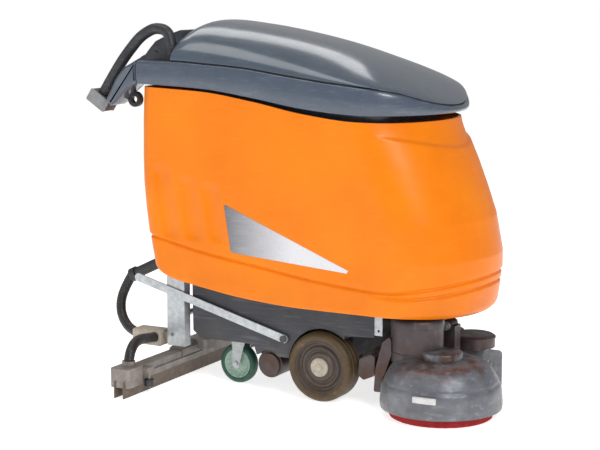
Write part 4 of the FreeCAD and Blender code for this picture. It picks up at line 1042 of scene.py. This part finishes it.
        for offset, z in ((-0.12, 0.630), (-0.02, 0.630), (-0.004, 0.634), (0.0, 0.645)):
            tub(offset, np.full(len(share), z))
        x, y = self.tub_outline(share, 0.0)
        tub(0.0, curve_at(self.rim_top, x) - 0.004)
        x, y = self.tub_outline(share, 0.004)
        tub(0.004, curve_at(self.rim_top, x))
        edge(-0.030, 0.0)
        edge(-0.012, 0.0)
        for q in np.linspace(0, 1, 19):
            bulge = -0.0095 + 0.0125 * np.sin(np.pi * q) ** 0.55
            groove = 0.0018 * np.exp(-(((q - 0.80) / 0.05) ** 2))
            edge(bulge - groove, (1 - np.cos(np.pi * q)) / 2)
        edge(-0.020, 1.0)
        x, y = self.tub_outline(share, 0.0051)
        tub(0.0051, curve_at(self.rim_bottom, x) + 0.004)
        tub(0.0051, np.full(len(share), 0.640))
        tub(-0.002, np.full(len(share), 0.6255))
        tub(-0.12, np.full(len(share), 0.625))
        piece = surface("recovery_rim_and_tub", np.array(rows), "machine", wrap_columns=True, caps=True, smooth=40)
        merge_and_face_out(piece)
        stands_for(piece, Finishes.RIM, "recovery_tank")

    def build(self) -> None:
        """Makes the rim and the dome."""
        self.rim()
        self.dome()


def turn_out(piece: bpy.types.Object, middle: Sequence[float]) -> None:
    """Points the faces of an open shell away from a place inside it.

    Args:
        piece: Shell whose faces already agree with each other.
        middle: Place inside it.
    """
    count = len(piece.data.polygons)
    centres, normals = np.zeros(count * 3), np.zeros(count * 3)
    piece.data.polygons.foreach_get("center", centres)
    piece.data.polygons.foreach_get("normal", normals)
    outward = np.sum((centres.reshape(-1, 3) - middle) * normals.reshape(-1, 3), 1)
    if np.sum(np.sign(outward)) < 0:
        piece.data.flip_normals()


@dataclass
class Handle:
    """Grey arms behind the tank, their end blocks, and the ring that carries the rear pins."""

    inner: float = 0.193
    outer: float = 0.283
    near: float = -0.6004
    eye: tuple[float, float] = (-0.655, 0.884)
    block_size: tuple[float, float, float] = (0.076, 0.060, 0.042)
    block_tilt: float = 33.0

    def arms(self) -> None:
        """Side outline of each arm carried across its width, with broad round edges."""
        outline = [
            (self.near, 1.007), (-0.640, 0.994), (-0.676, 0.958), (-0.704, 0.908), (-0.718, 0.888),
            (-0.700, 0.866), (-0.690, 0.872), (-0.672, 0.890), (-0.640, 0.922), (-0.612, 0.938), (self.near, 0.940),
        ]
        shape = rounded(outline, 0.014, 7)
        for name, side in SIDES.items():
            low, high = sorted((side * self.inner, side * self.outer))
            arm = slab("handle_arm_" + name, shape, low, high, "machine", bevel=0.011, smooth=50)
            stands_for(arm, Finishes.RIM, "handle_frame")
            x, z = self.eye
            loop = [(0.010, -0.0075), (0.0115, -0.009), (0.0225, -0.009), (0.024, -0.0075), (0.024, 0.0075),
                    (0.0225, 0.009), (0.0115, 0.009), (0.010, 0.0075)]
            eye = lathe("handle_eye_" + name, loop, (x, side * 0.205, z), "y", "machine", segments=56)
            stands_for(eye, Finishes.BLACK)
        bridge = rounded([(-0.660, 0.945), (-0.601, 0.945), (-0.601, 0.962), (-0.660, 0.962)], 0.003)
        piece = slab("handle_bridge", bridge, -0.262, 0.262, "machine", bevel=0.002)
        stands_for(piece, Finishes.RIM)

    def blocks(self) -> None:
        """Tilted end block with a raised frame on each face."""
        low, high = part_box("handle_end_blocks")
        length, wide, tall = self.block_size
        centre_x = (low.x + high.x) / 2 - AXLE_X
        centre_z = (low.z + high.z) / 2
        tilt = Matrix.Rotation(math.radians(self.block_tilt), 4, "Y")
        for name, side in SIDES.items():
            place = Matrix.Translation((centre_x, side * (high.y - wide / 2), centre_z)) @ tilt
            half_l, half_t = length / 2, tall / 2
            box = [(-half_l, -half_t), (half_l, -half_t), (half_l, half_t), (-half_l, half_t)]
            core = rounded([(a * 0.97, b * 0.94) for a, b in box], 0.005, 6)
            body = slab("end_block_" + name, core, -wide / 2 + 0.003, wide / 2 - 0.003, "machine", 0.003, place)
            stands_for(body, Finishes.BLOCK, "handle_end_blocks")
            for end, face in (("outer", 1), ("inner", -1)):
                rim = rounded(box, 0.006, 6)
                y0, y1 = sorted((face * wide / 2, face * (wide / 2 - 0.006)))
                frame_piece = slab(f"end_block_frame_{name}_{end}", rim, y0, y1, "machine", 0.0015, place)
                stands_for(frame_piece, Finishes.EDGE)

    def build(self) -> None:
        """Makes the arms and the blocks."""
        self.arms()
        self.blocks()


@dataclass
class Wheels:
    """Drive wheels and casters, turned from their profiles."""

    radius: float = 0.106
    outside: float = 0.231
    width: float = 0.085
    caster_radius: float = 0.0625
    caster_width: float = 0.034
    caster_x: float = -0.333
    caster_y: float = 0.125

    def drive(self, name: str, side: int) -> None:
        """Tyre with three shallow tread grooves and stepped walls, a dished centre and its cap.

        Args:
            name: Side of the machine.
            side: -1 on the right, 1 on the left.
        """
        o, w, r = self.outside, self.width, self.radius
        wall = [(0.0802, o - 0.004), (0.084, o - 0.0035), (0.086, o - 0.0015), (r - 0.014, o - 0.0005),
                (r - 0.010, o - 0.0012), (r - 0.004, o - 0.006), (r - 0.0008, o - 0.012)]
        tread = []
        for y in (0.022, 0.0425, 0.063):
            for shift, deep in ((-0.0035, 0), (-0.002, 0.0022), (0.002, 0.0022), (0.0035, 0)):
                tread.append((r - deep, o - y - shift))
        back = [(a, 2 * o - w - b) for a, b in wall[::-1]]
        profile = [(a, side * b) for a, b in wall + [(r, o - 0.015)] + sorted(tread, key=lambda p: -p[1])
                   + [(r, o - w + 0.015)] + back]
        centre = (0, 0, r)
        tyre = lathe("tyre_" + name, profile, centre, "y", "drive_wheel_" + name, segments=120, smooth=30)
        stands_for(tyre, Finishes.TREAD, "drive_tyre_" + name)
        f, low = o - 0.0045, o - 0.0045 - 0.076
        dish = [(0, low + 0.008), (0.040, low + 0.008), (0.064, low + 0.002), (0.0798, low), (0.0798, f - 0.0015),
                (0.0785, f), (0.0765, f - 0.0004), (0.0745, f - 0.004), (0.071, f - 0.0135), (0.066, f - 0.0145),
                (0.062, f - 0.0120), (0.060, f - 0.0085), (0.057, f - 0.0075), (0.054, f - 0.0095),
                (0.051, f - 0.0145), (0.046, f - 0.0145), (0.043, f - 0.0085), (0.040, f - 0.0062),
                (0.030, f - 0.0060), (0, f - 0.0060)]
        rim = lathe("wheel_centre_" + name, [(a, side * b) for a, b in dish], centre, "y", "drive_wheel_" + name,
                    closed=False, segments=120, smooth=30)
        stands_for(rim, Finishes.WHEEL, "drive_rim_" + name)
        cap = [(0, f - 0.0058), (0.0285, f - 0.0058), (0.0285, f - 0.001), (0.0272, f + 0.0005),
               (0.022, f + 0.0022), (0.019, f + 0.0018), (0.0165, f + 0.0008), (0.0125, f + 0.0010),
               (0.011, f + 0.0026), (0.008, f + 0.0032), (0, f + 0.0032)]
        piece = lathe("wheel_cap_" + name, [(a, side * b) for a, b in cap], centre, "y", "drive_wheel_" + name,
                      closed=False, segments=72, smooth=30)
        stands_for(piece, Finishes.CAP, "hub_cap_" + name)

    def caster(self, name: str, side: int) -> None:
        """Rubber tyre bonded on a nylon centre with a rolled bead and a domed hub.

        Args:
            name: Side of the machine.
            side: -1 on the right, 1 on the left.
        """
        r, w = self.caster_radius, self.caster_width / 2
        centre = (self.caster_x, side * self.caster_y, r)
        half = [(0.0462, w - 0.002), (0.048, w - 0.0008), (0.054, w), (r - 0.0035, w - 0.003),
                (r - 0.001, w - 0.0065), (r, w - 0.011)]
        tyre = lathe("caster_tyre_ring_" + name, half + [(a, -b) for a, b in half[::-1]], centre, "y",
                     "caster_wheel_" + name, segments=88, smooth=45)
        stands_for(tyre, Finishes.CASTER_TYRE, "caster_tyre_" + name)
        v = w - 0.003
        face = [(0.0052, v + 0.004), (0.0125, v + 0.004), (0.014, v + 0.0025), (0.0155, v - 0.003),
                (0.019, v - 0.0055), (0.034, v - 0.0055), (0.038, v - 0.0025), (0.041, v + 0.0012),
                (0.044, v + 0.0018), (0.046, v + 0.0002)]
        hub = lathe("caster_centre_" + name, face + [(a, -b) for a, b in face[::-1]], centre, "y",
                    "caster_wheel_" + name, segments=88, smooth=45)
        stands_for(hub, Finishes.CASTER_CORE, "caster_core_" + name)

    def build(self) -> None:
        """Makes both sides."""
        for name, side in SIDES.items():
            self.drive(name, side)
            self.caster(name, side)


def pad_centres() -> dict[str, tuple[float, float]]:
    """Centre of each disc from the drive axle, read from its packed pad."""
    boxes = {name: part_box("pad_" + name) for name in SIDES}
    return {name: ((low.x + high.x) / 2 - AXLE_X, (low.y + high.y) / 2) for name, (low, high) in boxes.items()}


@dataclass
class Deck:
    """Scrub deck: two bells, the motors that stand on them and the red pads underneath."""

    disc: dict[str, tuple[float, float]] = field(default_factory=pad_centres)
    bell_radius: dict[str, float] = field(default_factory=lambda: {"right": 0.177, "left": 0.157})
    motor: dict[str, tuple[float, float, float, float]] = field(default_factory=lambda: {
        "right": (0.290, -0.160, 0.080, 0.283), "left": (0.366, 0.085, 0.070, 0.188)})
    pad_radius: float = 0.152
    pad_height: float = 0.024
    bell_line: tuple = (
        (-0.156, 0.1678), (-0.117, 0.1680), (-0.088, 0.1678), (-0.076, 0.1660), (-0.060, 0.1622),
        (-0.047, 0.1575), (-0.037, 0.1515), (-0.030, 0.1435), (-0.024, 0.1340), (-0.018, 0.1230), (-0.012, 0.1120),
        (-0.007, 0.1020), (-0.004, 0.0940), (-0.0018, 0.0860), (-0.0005, 0.0760), (0.0005, 0.0600),
        (0.0017, 0.0470), (0.0017, 0.0380), (0.0008, 0.0300), (0.0, 0.0272),
    )

    def bell(self, name: str) -> None:
        """Bell: a skirt with a rolled foot and a pressed line, a full shoulder and a flat crown.

        Radius = line radius less a rib of height exp(-((z - 0.104) / 0.004)^2). The right bell opens where the
        left disc turns, and the left one stops inside the right one's wall.

        Args:
            name: Side of the machine.
        """
        other = "left" if name == "right" else "right"
        p = np.asarray(self.bell_line)
        gone = np.concatenate([[0], np.cumsum(np.linalg.norm(np.diff(p, axis=0), axis=1))])
        even = np.linspace(0, gone[-1], 70)
        zz = np.interp(even, gone, p[:, 1])
        rr = np.interp(even, gone, p[:, 0]) + self.bell_radius[name]
        rr = rr - 0.0022 * np.exp(-(((zz - 0.104) / 0.004) ** 2))
        a = np.linspace(0, 2 * np.pi, 180, endpoint=False)
        x, y = self.disc[name]
        high = np.broadcast_to(zz[:, None], (70, 180))
        grid = np.stack([x + rr[:, None] * np.cos(a), y + rr[:, None] * np.sin(a), high], -1)
        faces = grid_faces(70, 180, False, True)
        middle = grid.reshape(-1, 3)[faces].mean(1)
        away = np.hypot(middle[:, 0] - self.disc[other][0], middle[:, 1] - self.disc[other][1])
        if name == "right":
            inside = (away < self.pad_radius + 0.004) & (middle[:, 2] < 0.1)
        else:
            inside = away < np.interp(-middle[:, 2], -p[:, 1], p[:, 0]) + self.bell_radius[other] - 0.002
        piece = mesh_piece("deck_bell_" + name, grid, faces[~inside], "deck", smooth=40)
        turn_out(piece, (x + AXLE_X, y, 0.08))
        thicken(piece, 0.0035)
        stands_for(piece, Finishes.DECK, "deck_dome_" + name)

    def drive(self, name: str) -> None:
        """Brush motor with a rolled cap and two pressed bands, and the round gearbox over the disc.

        Args:
            name: Side of the machine.
        """
        x, y, r, top = self.motor[name]
        case = [(0, 0.150), (r - 0.001, 0.150), (r - 0.001, 0.1725), (r, 0.1735), (r, 0.1775), (r - 0.0025, 0.1790),
                (r - 0.0025, top - 0.030), (r - 0.0008, top - 0.029), (r - 0.0008, top - 0.016),
                (r - 0.003, top - 0.008), (r - 0.009, top - 0.002), (r - 0.018, top), (0.026, top),
                (0.024, top - 0.002), (0.012, top - 0.002), (0.010, top), (0, top)]
        if top < 0.2:
            case = [(0, 0.150), (r - 0.002, 0.150), (r - 0.002, top - 0.012), (r, top - 0.011),
                    (r, top - 0.006), (r - 0.008, top - 0.0005), (r - 0.016, top), (0, top)]
        body = lathe("brush_motor_case_" + name, case, (x, y, 0), "z", "deck", closed=False, segments=120)
        stands_for(body, Finishes.MOTOR, "brush_motor_" + name)
        x, y = self.disc[name]
        box = [(0, 0.166), (0.062, 0.166), (0.062, 0.184), (0.060, 0.1878), (0.056, 0.1895), (0.020, 0.190),
               (0, 0.190)]
        stands_for(lathe("brush_gearbox_" + name, box, (x, y, 0), "z", "deck", closed=False, segments=90),
                   Finishes.DECK)

    def pad(self, name: str) -> None:
        """Red disc with a frayed edge: the radius wanders by a millimetre from fibre to fibre.

        Args:
            name: Side of the machine.
        """
        x, y = self.disc[name]
        r, h = self.pad_radius, self.pad_height
        rng = np.random.default_rng(7)
        p = np.array([(0.0302, 0.0), (0.08, 0.0), (r - 0.004, 0.0), (r - 0.001, 0.002), (r, 0.006), (r, 0.012),
                      (r, 0.018), (r - 0.002, 0.0225), (r - 0.006, h), (0.08, h), (0.0302, h)])
        a = np.linspace(0, 2 * np.pi, 360, endpoint=False)
        fray = -np.abs(rng.normal(0, 0.0009, (len(p), len(a)))) * (p[:, 0] > 0.14)[:, None]
        radius = p[:, 0][:, None] + np.clip(fray, -0.003, 0)
        grid = np.stack([x + radius * np.cos(a), y + radius * np.sin(a), p[:, 1][:, None] + 0 * radius], -1)
        piece = surface("scrub_pad_" + name, grid, "disc_" + name, wrap_rows=True, wrap_columns=True, smooth=60)
        merge_and_face_out(piece)
        stands_for(piece, Finishes.PAD, "pad_" + name)

    def build(self) -> None:
        """Makes both halves of the deck."""
        for name in SIDES:
            self.bell(name)
            self.drive(name)
            self.pad(name)


class HoseRun(Enum):
    """Route of each held hose run, as control points from the drive axle."""

    UPPER = ((-0.744, -0.110, 0.303), (-0.764, -0.117, 0.266), (-0.776, -0.127, 0.224), (-0.769, -0.139, 0.184),
             (-0.744, -0.151, 0.152), (-0.708, -0.162, 0.132), (-0.668, -0.171, 0.126))
    LOWER = ((-0.594, -0.212, 0.134), (-0.590, -0.246, 0.138), (-0.582, -0.284, 0.145), (-0.573, -0.324, 0.151),
             (-0.564, -0.362, 0.152), (-0.557, -0.393, 0.142), (-0.553, -0.413, 0.122), (-0.552, -0.420, 0.098))


@dataclass
class Hoses:
    """Suction hose in two runs, with the low ribs of its wound wire."""

    radius: float = 0.0158
    pitch: float = 0.0085
    rib: float = 0.0007

    def run(self, name: str, route: HoseRun, bodies: tuple[str, str], node: str) -> None:
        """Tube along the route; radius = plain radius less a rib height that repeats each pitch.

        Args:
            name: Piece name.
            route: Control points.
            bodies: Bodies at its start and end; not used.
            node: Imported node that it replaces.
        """
        path = spline_route(route.value, 30)
        length = np.concatenate([[0], np.cumsum(np.linalg.norm(np.diff(path, axis=0), axis=1))])
        fine = np.linspace(0, length[-1], int(length[-1] / self.pitch * 7))
        path = np.stack([np.interp(fine, length, path[:, k]) for k in range(3)], -1)
        wave = 0.5 + 0.5 * np.cos(2 * np.pi * fine / self.pitch)
        scale = 1 - self.rib / self.radius * (1 - wave**0.6)
        piece = sweep(name, path, circle(self.radius, 36), None, scale, smooth=60)
        stands_for(piece, Finishes.HOSE, node)
        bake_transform(piece)

    def build(self) -> None:
        """Makes both runs."""
        self.run("hose_upper_run", HoseRun.UPPER, ("machine", "squeegee_arm"), "upper_hose")
        self.run("hose_lower_run", HoseRun.LOWER, ("squeegee_arm", "squeegee"), "lower_hose")


def kept_nodes() -> dict[Finishes, list[str]]:
    """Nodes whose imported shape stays, under the finish that each one gets."""
    return {
        Finishes.SEAL: ["lid_seal"],
        Finishes.STEEL: ["hinge_pins"],
        Finishes.GREY: ["console"],
        Finishes.DISPLAY: ["display_lens"],
        Finishes.GREEN: ["start_button"],
        Finishes.RED: ["stop_button"],
        Finishes.BLACK: ["key_switch", "filler_cap", "hose_cuff", "caster_plates", "wing_knobs"]
        + [n + s for n in ("handle_bow_", "trigger_", "end_roller_", "drive_plate_") for s in SIDES],
        Finishes.PLATE: ["side_plates"],
        Finishes.CHASSIS: ["chassis_tub"],
        Finishes.BATTERY: ["battery_pack"],
        Finishes.MOTOR: ["suction_motor", "transaxle", "deck_frame"],
        Finishes.ZINC: ["deck_hanger", "lift_arm", "front_bracket", "lift_frame", "squeegee_brackets"]
        + ["caster_fork_" + s for s in SIDES],
        Finishes.LATCH: ["dome_latch"],
        Finishes.CAP: ["hose_coupler"],
        Finishes.SQUEEGEE: ["squeegee_beam", "blade_strips"],
        Finishes.RUBBER: ["squeegee_blades"],
    }


@dataclass
class KeptNodes:
    """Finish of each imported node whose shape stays."""

    finishes: dict[Finishes, list[str]] = field(default_factory=kept_nodes)

    def build(self) -> None:
        """Dresses every listed node."""
        for finish, names in self.finishes.items():
            for name in names:
                finish.on(frame["nodes"][name])
            LOG.info("%s on %s", finish.value.name, ", ".join(names))


@dataclass
class Studio:
    """Pale floor, white surround, four soft lamps and the camera."""

    eye: tuple[float, float, float] = (2.171 + AXLE_X, -4.43, 1.27)
    turn: float = 28.0
    tip: float = 8.8
    lens: float = 97.4

    def camera(self) -> None:
        """Looks along (-sin turn cos tip, cos turn cos tip, -sin tip)."""
        data = bpy.data.cameras.new("studio_camera")
        data.lens, data.sensor_width = self.lens, 36.0
        camera = bpy.data.objects.new("studio_camera", data)
        turn, tip = math.radians(self.turn), math.radians(self.tip)
        forward = Vector((-math.sin(turn) * math.cos(tip), math.cos(turn) * math.cos(tip), -math.sin(tip)))
        camera.location = self.eye
        camera.rotation_euler = forward.to_track_quat("-Z", "Y").to_euler()
        bpy.context.scene.collection.objects.link(camera)
        bpy.context.scene.camera = camera

    def lamp(self, name: str, place: Sequence[float], size: tuple[float, float], watts: float) -> None:
        """Soft rectangular lamp that faces the machine's middle.

        Args:
            name: Lamp name.
            place: Where it stands.
            size: Its width and height.
            watts: Its power.
        """
        data = bpy.data.lights.new(name, "AREA")
        data.shape, data.size, data.size_y, data.energy = "RECTANGLE", size[0], size[1], watts
        lamp = bpy.data.objects.new(name, data)
        lamp.location = place
        away = Vector(place) - Vector((0.05, 0, 0.55))
        lamp.rotation_euler = away.to_track_quat("Z", "Y").to_euler()
        bpy.context.scene.collection.objects.link(lamp)

    def floor(self) -> None:
        """Wide matt sheet just under the wheels."""
        step = np.linspace(-9, 9, 3)
        x, y = np.meshgrid(step, step)
        grid = np.stack([x, y, np.full_like(x, -0.0005)], -1)
        mesh = bpy.data.meshes.new("floor")
        mesh.from_pydata(grid.reshape(-1, 3).tolist(), [], grid_faces(3, 3, False, False).tolist())
        sheet = bpy.data.objects.new("floor", mesh)
        bpy.context.scene.collection.objects.link(sheet)
        paint = bpy.data.materials.new("matt_white_paper")
        paint.use_nodes = True
        shader = paint.node_tree.nodes["Principled BSDF"]
        shader.inputs["Base Color"].default_value = linear("F6F6F6")
        shader.inputs["Roughness"].default_value = 0.95
        shader.inputs["Specular IOR Level"].default_value = 0.1
        shader.inputs["Emission Color"].default_value = (1, 1, 1, 1)
        shader.inputs["Emission Strength"].default_value = 0.75
        mesh.materials.append(paint)

    def surround(self) -> None:
        """White to the eye and a softer grey for what it lights and what the gloss mirrors."""
        world = bpy.data.worlds.new("studio")
        bpy.context.scene.world = world
        world.use_nodes = True
        tree = world.node_tree
        tree.nodes.clear()
        seen = add(tree, "LightPath").outputs["Is Camera Ray"]
        white = add(tree, "Background", {"Color": (1, 1, 1, 1), "Strength": 1.0}).outputs[0]
        soft = add(tree, "Background", {"Color": (1, 1, 1, 1), "Strength": 0.36}).outputs[0]
        both = add(tree, "MixShader", {0: seen, 1: soft, 2: white}).outputs[0]
        add(tree, "OutputWorld", {"Surface": both})

    def build(self) -> None:
        """Sets the studio up."""
        bpy.context.scene.view_settings.view_transform = "Standard"
        self.camera()
        self.floor()
        self.surround()
        self.lamp("key_lamp", (3.2, -2.6, 3.2), (1.4, 1.4), 84)
        self.lamp("top_lamp", (-0.6, -1.0, 3.6), (3.0, 1.2), 26)
        self.lamp("side_lamp", (-3.4, -3.0, 1.6), (1.6, 2.0), 16)
        self.lamp("lid_lamp", (-1.5, 1.9, 3.3), (2.6, 0.9), 15)


def main() -> None:
    """Builds the machine and its studio."""
    logging.basicConfig(level=logging.INFO, format="%(name)s: %(message)s")
    for part in (Studio(), SolutionTank(), Lid(), Handle(), Wheels(), Deck(), Hoses(), KeptNodes()):
        LOG.info("building %s", type(part).__name__)
        part.build()


if __name__ == "__main__":
    main()
